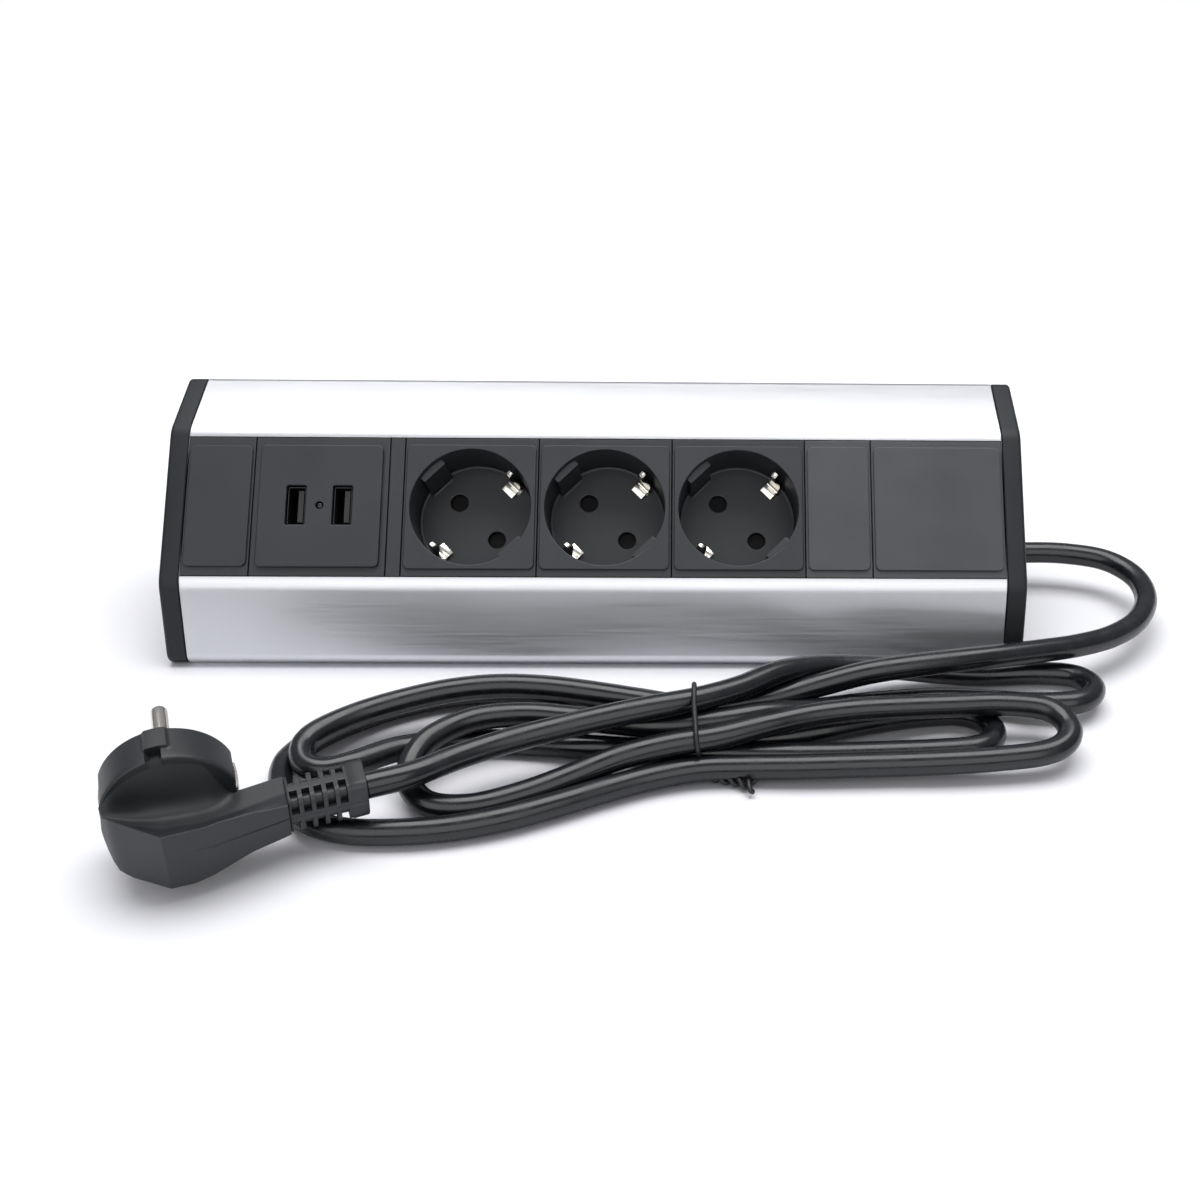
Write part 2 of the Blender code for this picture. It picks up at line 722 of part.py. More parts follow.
def clip_outline():
    """Earth clip seen from its side, in (across the cup, out of the face): a U with inward bulges."""
    arm = [(19.6, CROSSBAR_BOTTOM), (19.6, -12.0), (18.2, -8.0), (17.4, -5.4), (18.0, -3.9), (19.3, -3.4)]
    outer = [(x, w) for x, w in arm]
    thick = CLIP_THICK
    inner = [(19.3 - thick, -3.6 - 0.3), (18.0 - thick, -4.3), (17.4 - thick, -5.5), (18.2 - thick, -8.2)]
    inner += [(19.6 - thick, -12.2), (19.6 - thick, CROSSBAR_TOP)]
    right = outer + inner
    left = [(-x, w) for x, w in reversed(right)]
    return right + left


def build_earth_clip(index, middle):
    turned = band_at(middle) @ Matrix.Rotation(math.radians(45), 4, "Z")
    side_on = turned @ Matrix(((1, 0, 0, 0), (0, 0, -1, 0), (0, 1, 0, 0), (0, 0, 0, 1)))
    half = CLIP_WIDTH / 2
    clip = slab(f"earth_clip_{index + 1}", [clip_outline()], -half, half, side_on, PARTS)
    finish(clip, NICKEL)


def build_bar(name, v, contact_sign, material):
    here = band_at(0)
    low = BAR_TOP - BAR_THICK
    width = BAR_WIDTH / 2
    bar = box(name, (BAR_ENDS[0], v - width, low), (BAR_ENDS[1], v + width, BAR_TOP), here, PARTS)
    for index, span in enumerate(SOCKET_SPANS):
        middle = (span[0] + span[1]) / 2
        if contact_sign:
            u = middle + contact_sign * PIN_RING * math.sqrt(0.5)
            for side in (-1, 1):
                edge = v + side * TINE_OFFSET
                tine = box(
                    f"{name}_tine_{index}_{side}",
                    (u - 2.4, edge - TINE_THICK / 2, low + 0.2),
                    (u + 2.4, edge + TINE_THICK / 2, TINE_TOP),
                    here,
                    CUTTERS,
                )
                join(bar, tine)
        else:
            post = box(
                f"{name}_post_{index}",
                (middle - 1.5, -1.5, low + 0.2),
                (middle + 1.5, 1.5, CROSSBAR_BOTTOM - GAP),
                here,
                CUTTERS,
            )
            join(bar, post)
    finish(bar, material)


def build_sockets():
    for index, span in enumerate(SOCKET_SPANS):
        middle = (span[0] + span[1]) / 2
        build_socket_face(index, span)
        build_socket_base(index, middle)
        build_shutter(index, middle)
        build_shutter_spring(index, middle)
        build_earth_clip(index, middle)
    offset = PIN_RING * math.sqrt(0.5)
    build_bar("live_busbar", offset, -1, BRASS)
    build_bar("neutral_busbar", -offset, 1, BRASS)
    build_bar("earth_busbar", 0.0, 0, BRASS)


def build_usb():
    frame, middle, half = build_frame("usb_frame", USB_SPAN)
    here = band_at(middle)
    window = box("usb_window", (-19.5, -19.5, -4), (19.5, 19.5, 2), here, CUTTERS)
    cut(frame, window)
    finish(frame, PLASTIC)
    face = slab(
        "usb_face", [square_outline(20.4, USB_PLATE_HALF_V, 1.8)], GAP, FACE_PROUD + 0.5, here, PARTS
    )
    collar = box("usb_collar", (-19.2, -19.2, -3.4), (19.2, 19.2, 0.6), here, CUTTERS)
    join(face, collar)
    for k, u in enumerate(USB_PORTS):
        hole = box(
            f"usb_hole_{k}",
            (u - USB_SHELL_W / 2 - GAP, -USB_SHELL_H / 2 - GAP, -6),
            (u + USB_SHELL_W / 2 + GAP, USB_SHELL_H / 2 + GAP, 3),
            here,
            CUTTERS,
        )
        cut(face, hole)
    cut(face, cylinder("usb_led_hole", 1.3, -6, 3, here, CUTTERS, 20))
    finish(face, PLASTIC)
    lens = cylinder("usb_led_lens", 1.0, -3.4, 0.9, here, PARTS, 20)
    finish(lens, LENS, smooth=True)
    for k, u in enumerate(USB_PORTS):
        build_usb_port(k, band_at(middle + u))
    board = box("usb_board", (-18.5, -17.5, -19.3), (18.5, 17.5, -17.7), here, PARTS)
    finish(board, BOARD)
    core = box("usb_transformer", (-16.0, -15.0, -31.0), (-2.0, -1.0, -19.6), here, PARTS, bevel=0.8)
    finish(core, FERRITE)
    can = cylinder("usb_capacitor", 4.5, -32.0, -19.6, here, PARTS, 24, centre=(9.0, 8.0))
    finish(can, CAN, smooth=True)
    housing = box("usb_housing", (-20.4, -19.4, -36.0), (20.4, 19.4, -3.7), here, PARTS)
    room = box("usb_housing_room", (-18.9, -17.9, -34.4), (18.9, 17.9, 0), here, CUTTERS)
    cut(housing, room)
    finish(housing, BASE_PLASTIC)


def build_usb_port(index, here):
    half_w = USB_SHELL_W / 2
    half_h = USB_SHELL_H / 2
    top = 0.4
    back = -USB_DEPTH
    shell = box(f"usb_shell_{index + 1}", (-half_w, -half_h, back), (half_w, half_h, top), here, PARTS)
    wall = USB_SHELL_WALL
    hollow = box(
        f"usb_shell_hollow_{index}",
        (-half_w + wall, -half_h + wall, back + 1.0),
        (half_w - wall, half_h - wall, top + 1),
        here,
        CUTTERS,
    )
    cut(shell, hollow)
    finish(shell, NICKEL)
    tongue = box(
        f"usb_tongue_{index + 1}",
        (0.35, -half_h + wall + 0.6, back + 1.3),
        (half_w - wall - 0.3, half_h - wall - 0.6, top - 0.8),
        here,
        PARTS,
    )
    finish(tongue, TONGUE)


def catmull(points, per_span):
    """Smooth positions through route points."""
    route = [Vector(p) for p in points]
    route = [route[0] * 2 - route[1], *route, route[-1] * 2 - route[-2]]
    result = []
    for a, b, c, d in zip(route, route[1:], route[2:], route[3:]):
        for step in range(per_span):
            t = step / per_span
            square = 2 * a - 5 * b + 4 * c - d
            cube = 3 * b - a - 3 * c + d
            result.append(0.5 * (2 * b + (c - a) * t + square * t**2 + cube * t**3))
    result.append(route[-2])
    return [tuple(p) for p in result]


def build_wires():
    tail = tube(
        "cord_tail",
        [(GLAND_TIP, EXIT_Y, EXIT_Z), (132, EXIT_Y, EXIT_Z), (TAIL_INNER, EXIT_Y, EXIT_Z)],
        CORD_RADIUS,
        WORLD,
        PARTS,
        3,
    )
    finish(tail, CORD_PVC)
    offset = PIN_RING * math.sqrt(0.5)
    level = BAR_TOP - BAR_THICK / 2
    starts = ((1.7, 1.0), (-1.7, 1.0), (0.0, -1.9))
    names = (("wire_live", offset, LIVE), ("wire_neutral", -offset, NEUTRAL), ("wire_earth", 0.0, EARTH))
    for (dy, dz), (name, v, material) in zip(starts, names):
        target = band_at(BAR_ENDS[1] + GAP, v, level).translation / MM
        start = Vector((TAIL_INNER - GAP, EXIT_Y + dy, EXIT_Z + dz))
        route = [
            start,
            start + Vector((-6, 0, 0)),
            start.lerp(target, 0.55) + Vector((0, 0, 0.0)),
            target + Vector((6, 0, 0)),
            target,
        ]
        wire = tube(name, catmull(route, 3), 1.2, WORLD, PARTS, 1)
        finish(wire, material)


HANK_LOWER = (
    (176.0, -50.0),
    (171.0, -41.5),
    (152.0, -38.6),
    (130.0, -40.0),
    (100.0, -46.0),
    (70.0, -56.0),
    (46.0, -62.5),
    (26.0, -62.5),
    (4.0, -51.0),
    (-16.0, -46.0),
    (-38.0, -47.5),
    (-62.0, -57.0),
    (-86.0, -73.0),
    (-96.5, -88.0),
    (-95.0, -99.5),
    (-74.0, -104.0),
    (-76.0, -113.0),
    (-70.0, -128.0),
    (-58.0, -129.5),
    (-38.0, -128.0),
    (-10.0, -118.5),
    (10.0, -107.0),
    (26.0, -99.5),
    (60.0, -98.5),
    (110.0, -97.0),
    (145.0, -92.0),
    (162.0, -80.0),
    (161.0, -70.0),
    (171.0, -62.0),
)
HANK_UPPER_ROUTE = (
    (-30.0, -100.6),
    (-13.6, -91.5),
    (11.0, -81.0),
    (34.0, -80.0),
    (60.0, -72.0),
    (90.0, -57.5),
    (130.2, -46.8),
)
HANK_UPPER_HALF = (6.0, 10.0, 15.0, 17.0, 15.0, 9.0, 4.5)


def hank_upper_outline():
    """The higher layers: a strip along the route, widest at the tie."""
    left = []
    right = []
    count = len(HANK_UPPER_ROUTE)
    for index, (point, half) in enumerate(zip(HANK_UPPER_ROUTE, HANK_UPPER_HALF)):
        before = Vector(HANK_UPPER_ROUTE[max(index - 1, 0)])
        after = Vector(HANK_UPPER_ROUTE[min(index + 1, count - 1)])
        along = (after - before).normalized()
        side = Vector((-along.y, along.x)) * half
        left.append(tuple(Vector(point) + side))
        right.append(tuple(Vector(point) - side))
    return left + list(reversed(right))


def build_hank():
    lower = fillet(HANK_LOWER, (6.0,) * len(HANK_LOWER), steps=2)
    hank = slab("cord_hank", [lower], GAP, HANK_LOWER_TOP, WORLD, PARTS)
    outline = hank_upper_outline()
    upper = slab("hank_upper", [outline], HANK_LOWER_TOP - 2, HANK_UPPER_TOP - 2, WORLD, CUTTERS)
    join(hank, upper)
    # Room under the strands for the tie
    cut(hank, box("tie_room", (TIE_X - 1.6, -112.0, -1.0), (TIE_X + 1.6, -50.0, 2.4), WORLD, CUTTERS))
    finish(hank, CORD_PVC)


# Plug frame: s along its neck, v along the line of its pins, b out of its back
PLUG_CENTRE = (-114.4, -120.0, 19.5)
PLUG_YAW = math.radians(21.1)
PLUG_ROLL = math.radians(-2.8)
PLUG_TILT = math.radians(4.5)
PLUG_RADIUS = 18.4
PLUG_RIM_DEPTH = 13.0
PLUG_BACK = 31.0
PLUG_WEB_HALF = 12.0
BOOT_START = 27.0
BOOT_END = 51.2
BOOT_HALF = 7.2
BOOT_LEVEL = 18.7
BOOT_SLIT_FIRST = 2.4
BOOT_SLIT_PITCH = 3.7
BOOT_SLIT_WIDTH = 1.8
BOOT_SLIT_HALF = 2.6
BOOT_SLIT_MIDDLE = 3.6
BOOT_SLIT_DEPTH = 2.2
PLUG = (
    Matrix.Translation(Vector(PLUG_CENTRE) * MM)
    @ Matrix.Rotation(PLUG_YAW, 4, "Z")
    @ Matrix.Rotation(PLUG_TILT, 4, "X")
    @ Matrix.Rotation(-PLUG_ROLL, 4, "Y")
)
# Local axes of the disc: x = s, y = v, z = b
PLUG = PLUG @ Matrix(((1, 0, 0, 0), (0, 0, -1, 0), (0, 1, 0, 0), (0, 0, 0, 1)))


def web_outline():
    """The grip seen along the pins' line, in (s, b)."""
    return [
        (-17.6, 6.0),
        (-18.2, 14.0),
        (-14.0, 22.5),
        (-3.0, PLUG_BACK),
        (8.0, PLUG_BACK - 0.6),
        (BOOT_START - GAP, 27.5),
        (BOOT_START - GAP, 10.0),
        (18.0, 6.0),
    ]


def build_plug():
    body = cylinder("plug_body", PLUG_RADIUS, GAP, PLUG_RIM_DEPTH, PLUG, PARTS, 48)
    side_on = PLUG @ Matrix(((1, 0, 0, 0), (0, 0, -1, 0), (0, 1, 0, 0), (0, 0, 0, 1)))
    outline = fillet(web_outline(), (0, 2.0, 5.0, 2.0, 1.0, 0, 0, 0), steps=3)
    web = slab("plug_web", [outline], -PLUG_WEB_HALF, PLUG_WEB_HALF, side_on, CUTTERS)
    join(body, web)
    for k, side in enumerate((-1, 1)):
        scoop = finger_scoop(f"plug_scoop_{k}", side)
        cut(body, scoop)
        taper = neck_taper(f"plug_taper_{k}", side)
        cut(body, taper)
        groove = box(
            f"plug_groove_{k}",
            (-2.6, side * PLUG_RADIUS - 2.2, -1),
            (2.6, side * PLUG_RADIUS + 2.2, PLUG_RIM_DEPTH + 1),
            PLUG,
            CUTTERS,
        )
        cut(body, groove)
        notch = box(
            f"plug_notch_{k}",
            (side * PLUG_RADIUS - 1.8, -2.6, -1),
            (side * PLUG_RADIUS + 1.8, 2.6, PLUG_RIM_DEPTH - 1.5),
            PLUG,
            CUTTERS,
        )
        cut(body, notch)
        hole = cylinder(
            f"plug_pin_hole_{k}", 2.7, -1, 9.3, PLUG, CUTTERS, 20, centre=(0, side * PIN_RING)
        )
        cut(body, hole)
    finish(body, PLUG_PVC, smooth=True)
    build_plug_metal()


def finger_scoop(name, side):
    """A round-nosed hollow on one side of the grip."""

    def build(work):
        bmesh.ops.create_uvsphere(work, u_segments=20, v_segments=12, radius=1.0)
        bmesh.ops.scale(work, vec=(19.0 * MM, 11.5 * MM, 9.2 * MM), verts=work.verts)
        move = (-1.0 * MM, side * 15.6 * MM, 20.6 * MM)
        bmesh.ops.translate(work, vec=move, verts=work.verts)

    return place(name, mesh_from(build, name), PLUG, CUTTERS)


def neck_taper(name, side):
    """A sloped cut that narrows the grip towards the boot."""
    side_plan = [(10.0, side * 13.0), (36.0, side * 7.6), (36.0, side * 16.0), (10.0, side * 16.0)]
    return slab(name, [side_plan], PLUG_RIM_DEPTH + 0.01, PLUG_BACK + 4, PLUG, CUTTERS)


def build_plug_metal():
    for k, side in enumerate((1, -1)):
        centre = (0, side * PIN_RING)
        pin = cylinder(f"plug_pin_{k + 1}", 2.4, -18.0, 9.0, PLUG, PARTS, 20, centre=centre)
        join(pin, cylinder(f"pin_tip_{k}", 1.5, -19.0, -17.5, PLUG, CUTTERS, 20, 2.38, centre=centre))
        finish(pin, NICKEL, smooth=True)
    for k, side in enumerate((1, -1)):
        low, high = sorted((side * (PLUG_RADIUS - 1.5), side * (PLUG_RADIUS - 0.6)))
        top = (high, 2.2, PLUG_RIM_DEPTH - 1.9)
        strip = box(f"plug_earth_strip_{k + 1}", (low, -2.2, 0.4), top, PLUG, PARTS, bevel=0.2)
        finish(strip, NICKEL)


def build_boot():
    along = PLUG @ Matrix(((0, 0, 1, 0), (1, 0, 0, 0), (0, 1, 0, 0), (0, 0, 0, 1)))
    low = BOOT_LEVEL - BOOT_HALF
    high = BOOT_LEVEL + BOOT_HALF
    points = [(-BOOT_HALF, low), (BOOT_HALF, low), (BOOT_HALF, high), (-BOOT_HALF, high)]
    outline = fillet(points, (1.8,) * 4, steps=2)
    boot = slab("plug_boot", [outline], BOOT_START, BOOT_END, along, PARTS)
    for side in (-1, 1):
        for k in range(5):
            s = BOOT_START + BOOT_SLIT_FIRST + BOOT_SLIT_PITCH * k
            slit = box(
                f"boot_slit_{side}_{k}",
                (s, side * BOOT_SLIT_MIDDLE - BOOT_SLIT_HALF, high - BOOT_SLIT_DEPTH),
                (s + BOOT_SLIT_WIDTH, side * BOOT_SLIT_MIDDLE + BOOT_SLIT_HALF, high + 1),
                PLUG,
                CUTTERS,
            )
            cut(boot, slit)
    finish(boot, PLUG_PVC)


def build_lead():
    finish(tube("cord_lead", catmull(LEAD_ROUTE, 2), CORD_RADIUS, WORLD, PARTS, 2), CORD_PVC)
    faces = [PLUG @ (Vector((BOOT_END + reach, 0, BOOT_LEVEL)) * MM) / MM for reach in (GAP, 3.0)]
    bend = catmull([faces[1], *PLUG_END_ROUTE], 2)
    finish(tube("cord_plug_end", [faces[0], *bend], CORD_RADIUS, WORLD, PARTS, 2), CORD_PVC)


def build_tie():
    """A wire tie: one closed loop round the hank."""
    points = [(-60.8, 1.1), (-60.8, 17.0), (-63.0, 18.9), (-97.0, 18.9), (-101.3, 17.0), (-101.3, 1.1)]
    curve = bpy.data.curves.new("cord_tie", "CURVE")
    curve.dimensions = "3D"
    curve.bevel_depth = 0.8 * MM
    curve.bevel_resolution = 1
    spline = curve.splines.new("POLY")
    spline.points.add(len(points) - 1)
    for point, (y, z) in zip(spline.points, points):
        point.co = (TIE_X * MM, y * MM, z * MM, 1)
    spline.use_cyclic_u = True
    finish(place("cord_tie", curve, WORLD, PARTS), TIE_PVC)


def build_all():
    build_profile()
    for side in (-1, 1):
        cap = build_cap(side)
        if side > 0:
            build_right_cap_fittings(cap)
        finish(cap, CAP_PLASTIC, smooth=True)
        for index, port in enumerate(PORTS):
            build_cap_screw(side, index, port)
    build_gland()
    build_clamp()
    build_blank("label_blank", LABEL_SPAN, 21.0)
    build_usb()
    build_filler()
    build_sockets()
    build_blank("blank_half", HALF_SPAN)
    build_blank("blank_full", FULL_SPAN)
    build_wires()
    build_lead()
    build_hank()
    build_tie()
    build_plug()
    build_boot()


build_all()
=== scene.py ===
# Desk power strip: an aluminium corner profile, snap-in modules and a tied mains lead.
import math

import bmesh
import bpy
import numpy as np
from mathutils import Matrix, Vector
from mathutils.geometry import tessellate_polygon


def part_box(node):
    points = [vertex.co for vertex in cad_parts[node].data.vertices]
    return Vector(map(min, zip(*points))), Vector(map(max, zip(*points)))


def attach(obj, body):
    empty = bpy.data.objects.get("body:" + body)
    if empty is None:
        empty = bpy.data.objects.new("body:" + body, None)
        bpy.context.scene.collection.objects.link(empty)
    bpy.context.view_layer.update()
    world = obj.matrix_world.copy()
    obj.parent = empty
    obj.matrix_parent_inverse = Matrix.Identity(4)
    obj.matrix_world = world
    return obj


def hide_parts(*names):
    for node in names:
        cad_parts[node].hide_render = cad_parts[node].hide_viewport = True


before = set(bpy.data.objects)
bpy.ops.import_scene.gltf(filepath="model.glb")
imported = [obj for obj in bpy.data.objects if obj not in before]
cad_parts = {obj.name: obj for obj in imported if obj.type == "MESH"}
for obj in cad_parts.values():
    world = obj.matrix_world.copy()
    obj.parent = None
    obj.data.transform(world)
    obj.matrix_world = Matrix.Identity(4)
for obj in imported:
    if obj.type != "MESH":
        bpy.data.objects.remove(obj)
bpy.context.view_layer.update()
print("stage 1: frame loaded,", len(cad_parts), "nodes")

mm = 0.001
rootBody = "strip"

camera = {
    "place": (0.034183, -0.429677, 0.269369),
    "right": (0.99968692, -0.01952468, 0.01564762),
    "up": (-0.00229178, 0.5512951, 0.83430718),
    "forward": (0.02491604, 0.83408183, -0.55107775),
    "lens": 42.0,
    "shiftX": -0.11137,
    "shiftY": 0.03667,
}


def makeCamera():
    # The columns of the turn are the camera's right, its up and the reverse of where it looks
    data = bpy.data.cameras.new("camera")
    data.lens = camera["lens"]
    data.sensor_width = 36.0
    data.shift_x = camera["shiftX"]
    data.shift_y = camera["shiftY"]
    data.clip_start = 0.01
    item = bpy.data.objects.new("camera", data)
    back = -Vector(camera["forward"])
    turn = Matrix((camera["right"], camera["up"], back)).transposed()
    item.matrix_world = Matrix.Translation(camera["place"]) @ turn.to_4x4()
    bpy.context.scene.collection.objects.link(item)
    bpy.context.scene.camera = item


makeCamera()


def boxMm(node):
    low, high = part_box(node)
    return np.array(low) / mm, np.array(high) / mm


shellLow, shellHigh = boxMm("profile_shell")
faceLow, faceHigh = boxMm("socket_face_1")
moduleHalfV = 24.1  # half the height of a module on the sloping band
root = math.sqrt(0.5)
bandY = faceLow[1] + moduleHalfV * root  # the lowest y of a module is its plate's lower edge
bandZ = faceHigh[2] - moduleHalfV * root


def bandFrame(u):
    # A flat frame on the band: first along the strip, second up the slope, third straight out of it
    return np.array([[1, 0, 0, u], [0, root, -root, bandY], [0, root, root, bandZ]], float)


acrossFrame = np.array([[0, 0, 1, 0], [1, 0, 0, 0], [0, 1, 0, 0]], float)  # (y, z, x) of a section
worldFrame = np.eye(4)[:3]


def toFrame(points, place):
    return points @ place[:, :3].T + place[:, 3]


def newShape():
    return {"points": [], "faces": [], "flat": [], "count": 0}


def addPoints(shape, points):
    flat = np.asarray(points, float).reshape(-1, 3)
    start = shape["count"]
    shape["points"].append(flat)
    shape["count"] += len(flat)
    return start + np.arange(len(flat)).reshape(np.shape(points)[:-1])


def addGrid(shape, points, closeAcross=True, closeAlong=False):
    # Quads between the rows of a (rows, columns, 3) grid; a closed side also joins its last to its first
    index = points if np.issubdtype(np.asarray(points).dtype, np.integer) else addPoints(shape, points)
    rows = index if not closeAlong else np.vstack([index, index[:1]])
    cols = rows if not closeAcross else np.hstack([rows, rows[:, :1]])
    quads = np.stack([cols[:-1, :-1], cols[:-1, 1:], cols[1:, 1:], cols[1:, :-1]], -1)
    shape["faces"] += quads.reshape(-1, 4).tolist()
    return index


def addFlat(shape, loops):
    # A flat face between an outer loop of point numbers and the loops of its holes
    points = np.vstack(shape["points"])
    order = np.concatenate([np.asarray(loop) for loop in loops])
    corners = [[Vector(points[i]) for i in loop] for loop in loops]
    triangles = [[int(order[k]) for k in triangle] for triangle in tessellate_polygon(corners)]
    shape["flat"] += range(len(shape["faces"]), len(shape["faces"]) + len(triangles))
    shape["faces"] += triangles


def closeEnds(shape, index):
    # A flat face over the first and the last row of a grid
    addFlat(shape, [index[0]])
    addFlat(shape, [index[-1]])


def level(outline, height):
    # A flat (n, 2) outline lifted to one height
    outline = np.asarray(outline, float)
    return np.column_stack([outline, np.full(len(outline), height)])


def levels(outlines, heights):
    return np.stack([level(o, h) for o, h in zip(outlines, heights)])


def finishShape(shape, name, place, slot, finish=None, smooth=35.0, replaces=()):
    # Merge doubles, turn every face outwards, set crisp edges by angle, and hand the piece to the frame
    points = toFrame(np.vstack(shape["points"]), place) * mm
    mesh = bpy.data.meshes.new(name)
    mesh.from_pydata(points.tolist(), [], shape["faces"])
    curved = np.ones(len(shape["faces"]), bool)
    curved[shape["flat"]] = False
    mesh.polygons.foreach_set("use_smooth", curved)
    work = bmesh.new()
    work.from_mesh(mesh)
    bmesh.ops.remove_doubles(work, verts=work.verts, dist=1e-6)
    bmesh.ops.recalc_face_normals(work, faces=work.faces)
    work.to_mesh(mesh)
    work.free()
    curved = np.ones(len(mesh.polygons), bool)
    mesh.polygons.foreach_get("use_smooth", curved)
    mesh.set_sharp_from_angle(angle=math.radians(smooth))
    mesh.polygons.foreach_set("use_smooth", curved)
    mesh.materials.append(materials[finish or slot])
    item = bpy.data.objects.new(name, mesh)
    bpy.context.scene.collection.objects.link(item)
    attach(item, rootBody)
    if replaces:
        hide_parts(*replaces)
    return item


def circleLoop(radius, count, middle=(0.0, 0.0), start=0.0):
    turn = start + np.arange(count) / count * math.tau
    return np.column_stack([middle[0] + radius * np.cos(turn), middle[1] + radius * np.sin(turn)])


def roundedLoop(corners, radii, steps=6):
    # Each corner of a polygon becomes an arc that touches both of its sides
    corners = np.asarray(corners, float)
    radii = np.broadcast_to(radii, len(corners))
    before = np.roll(corners, 1, axis=0) - corners
    after = np.roll(corners, -1, axis=0) - corners
    before /= np.linalg.norm(before, axis=1)[:, None]
    after /= np.linalg.norm(after, axis=1)[:, None]
    half = np.arccos(np.clip((before * after).sum(1), -1, 1)) / 2
    middle = before + after
    middle /= np.linalg.norm(middle, axis=1)[:, None]
    centre = corners + middle * (radii / np.sin(half))[:, None]
    first = before * (radii / np.tan(half))[:, None] + corners - centre
    last = after * (radii / np.tan(half))[:, None] + corners - centre
    angle = np.arctan2(first[:, 0] * last[:, 1] - first[:, 1] * last[:, 0], (first * last).sum(1))
    turn = angle[:, None] * np.linspace(0, 1, steps + 1)[None]
    x = first[:, :1] * np.cos(turn) - first[:, 1:] * np.sin(turn)
    y = first[:, :1] * np.sin(turn) + first[:, 1:] * np.cos(turn)
    return (centre[:, None] + np.stack([x, y], -1)).reshape(-1, 2)


def boxLoop(halfU, halfV, radius, middle=(0.0, 0.0), steps=6):
    corners = np.array([(-halfU, -halfV), (halfU, -halfV), (halfU, halfV), (-halfU, halfV)])
    return roundedLoop(corners + np.array(middle), radius, steps)


def insetLoop(loop, distance):
    # Each point of a counter-clockwise outline moved inwards along the mean of its two sides' normals
    loop = np.asarray(loop, float)
    ahead = np.roll(loop, -1, axis=0) - loop
    length = np.linalg.norm(ahead, axis=1)
    keep = length > 1e-9
    normal = np.column_stack([-ahead[:, 1], ahead[:, 0]]) / np.where(keep, length, 1)[:, None]
    for _ in range(3):
        normal = np.where((np.abs(normal).sum(1) > 0)[:, None], normal, np.roll(normal, -1, axis=0))
    behind = np.roll(normal, 1, axis=0)
    mean = normal + behind
    mean /= (mean**2).sum(1)[:, None] / 2
    return loop + mean * distance


def edgeRows(loop, low, high, radius, steps=4):
    # A wall from low to high whose upper edge is a quarter round of the given radius
    turn = np.linspace(0, math.pi / 2, steps + 1)
    rows = [loop] + [insetLoop(loop, radius * (1 - math.cos(t))) for t in turn]
    heights = [low] + [high - math.copysign(radius, high - low) * (1 - math.sin(t)) for t in turn]
    return levels(rows, heights)


def addSlab(shape, loop, low, high, radius=0.3, lower=0.15):
    # A closed plate: rounded upper edge, slightly broken lower edge, flat top and bottom
    upper = edgeRows(loop, low + lower, high, radius)
    index = addGrid(shape, np.concatenate([levels([insetLoop(loop, lower)], [low]), upper]))
    closeEnds(shape, index)
    return index


def srgb(text):
    # sRGB hex to linear light
    value = np.array([int(text[k : k + 2], 16) for k in (0, 2, 4)]) / 255
    linear = np.where(value <= 0.04045, value / 12.92, ((value + 0.055) / 1.055) ** 2.4)
    return (*[float(c) for c in linear], 1.0)


def node(tree, kind, links=None, **settings):
    # Adds one node: plain settings by attribute or input name, links as {input: output socket}
    item = tree.nodes.new(kind)
    for key, value in settings.items():
        if hasattr(item, key):
            setattr(item, key, value)
        else:
            item.inputs[key.replace("_", " ")].default_value = value
    for key, socket in (links or {}).items():
        tree.links.new(socket, item.inputs[key])
    return item


def startMaterial(name, **sockets):
    material = bpy.data.materials.new(name)
    material.use_nodes = True
    shader = material.node_tree.nodes["Principled BSDF"]
    for key, value in sockets.items():
        shader.inputs[key.replace("_", " ")].default_value = value
    return material, material.node_tree, shader


def blendColor(tree, factor, first, second):
    mixed = node(tree, "ShaderNodeMix", {"Factor": factor}, data_type="RGBA")
    mixed.inputs["A"].default_value = srgb(first)
    mixed.inputs["B"].default_value = srgb(second)
    return mixed.outputs["Result"]


def addGloss(tree, shader, factor, low, high, rough):
    # Roughness spread over a pattern: rough[0] where it is at low, rough[1] where it is at high
    spread = node(tree, "ShaderNodeMapRange", {"Value": factor}, From_Min=low, From_Max=high)
    spread.inputs["To Min"].default_value, spread.inputs["To Max"].default_value = rough
    tree.links.new(spread.outputs["Result"], shader.inputs["Roughness"])


def addBump(tree, shader, height, strength, depthMm):
    bump = node(tree, "ShaderNodeBump", {"Height": height}, Strength=strength, Distance=depthMm * mm)
    tree.links.new(bump.outputs["Normal"], shader.inputs["Normal"])


def mouldedPlastic(name, dark, light, roughness, grainMm, grainDepthMm, specular=0.5):
    # Injection-moulded black plastic from a spark-eroded tool: the eye gets a fine even grain that
    # breaks up highlights, faint cloudy flow marks, and slightly glossier patches where it was handled.
    # Real grain is about 0.1 mm; it is drawn at grainMm so that it still shows at this size.
    material, tree, shader = startMaterial(name, IOR=1.5, Specular_IOR_Level=specular)
    place = node(tree, "ShaderNodeTexCoord").outputs["Object"]
    grain = node(tree, "ShaderNodeTexNoise", {"Vector": place}, Scale=1 / (grainMm * mm), Detail=3.0)
    cloud = node(tree, "ShaderNodeTexNoise", {"Vector": place}, Scale=1 / (22 * mm), Detail=4.0)
    tone = blendColor(tree, cloud.outputs["Fac"], dark, light)
    tree.links.new(tone, shader.inputs["Base Color"])
    addGloss(tree, shader, cloud.outputs["Fac"], 0.3, 0.7, (roughness - 0.05, roughness + 0.07))
    addBump(tree, shader, grain.outputs["Fac"], 0.6, grainDepthMm)
    return material


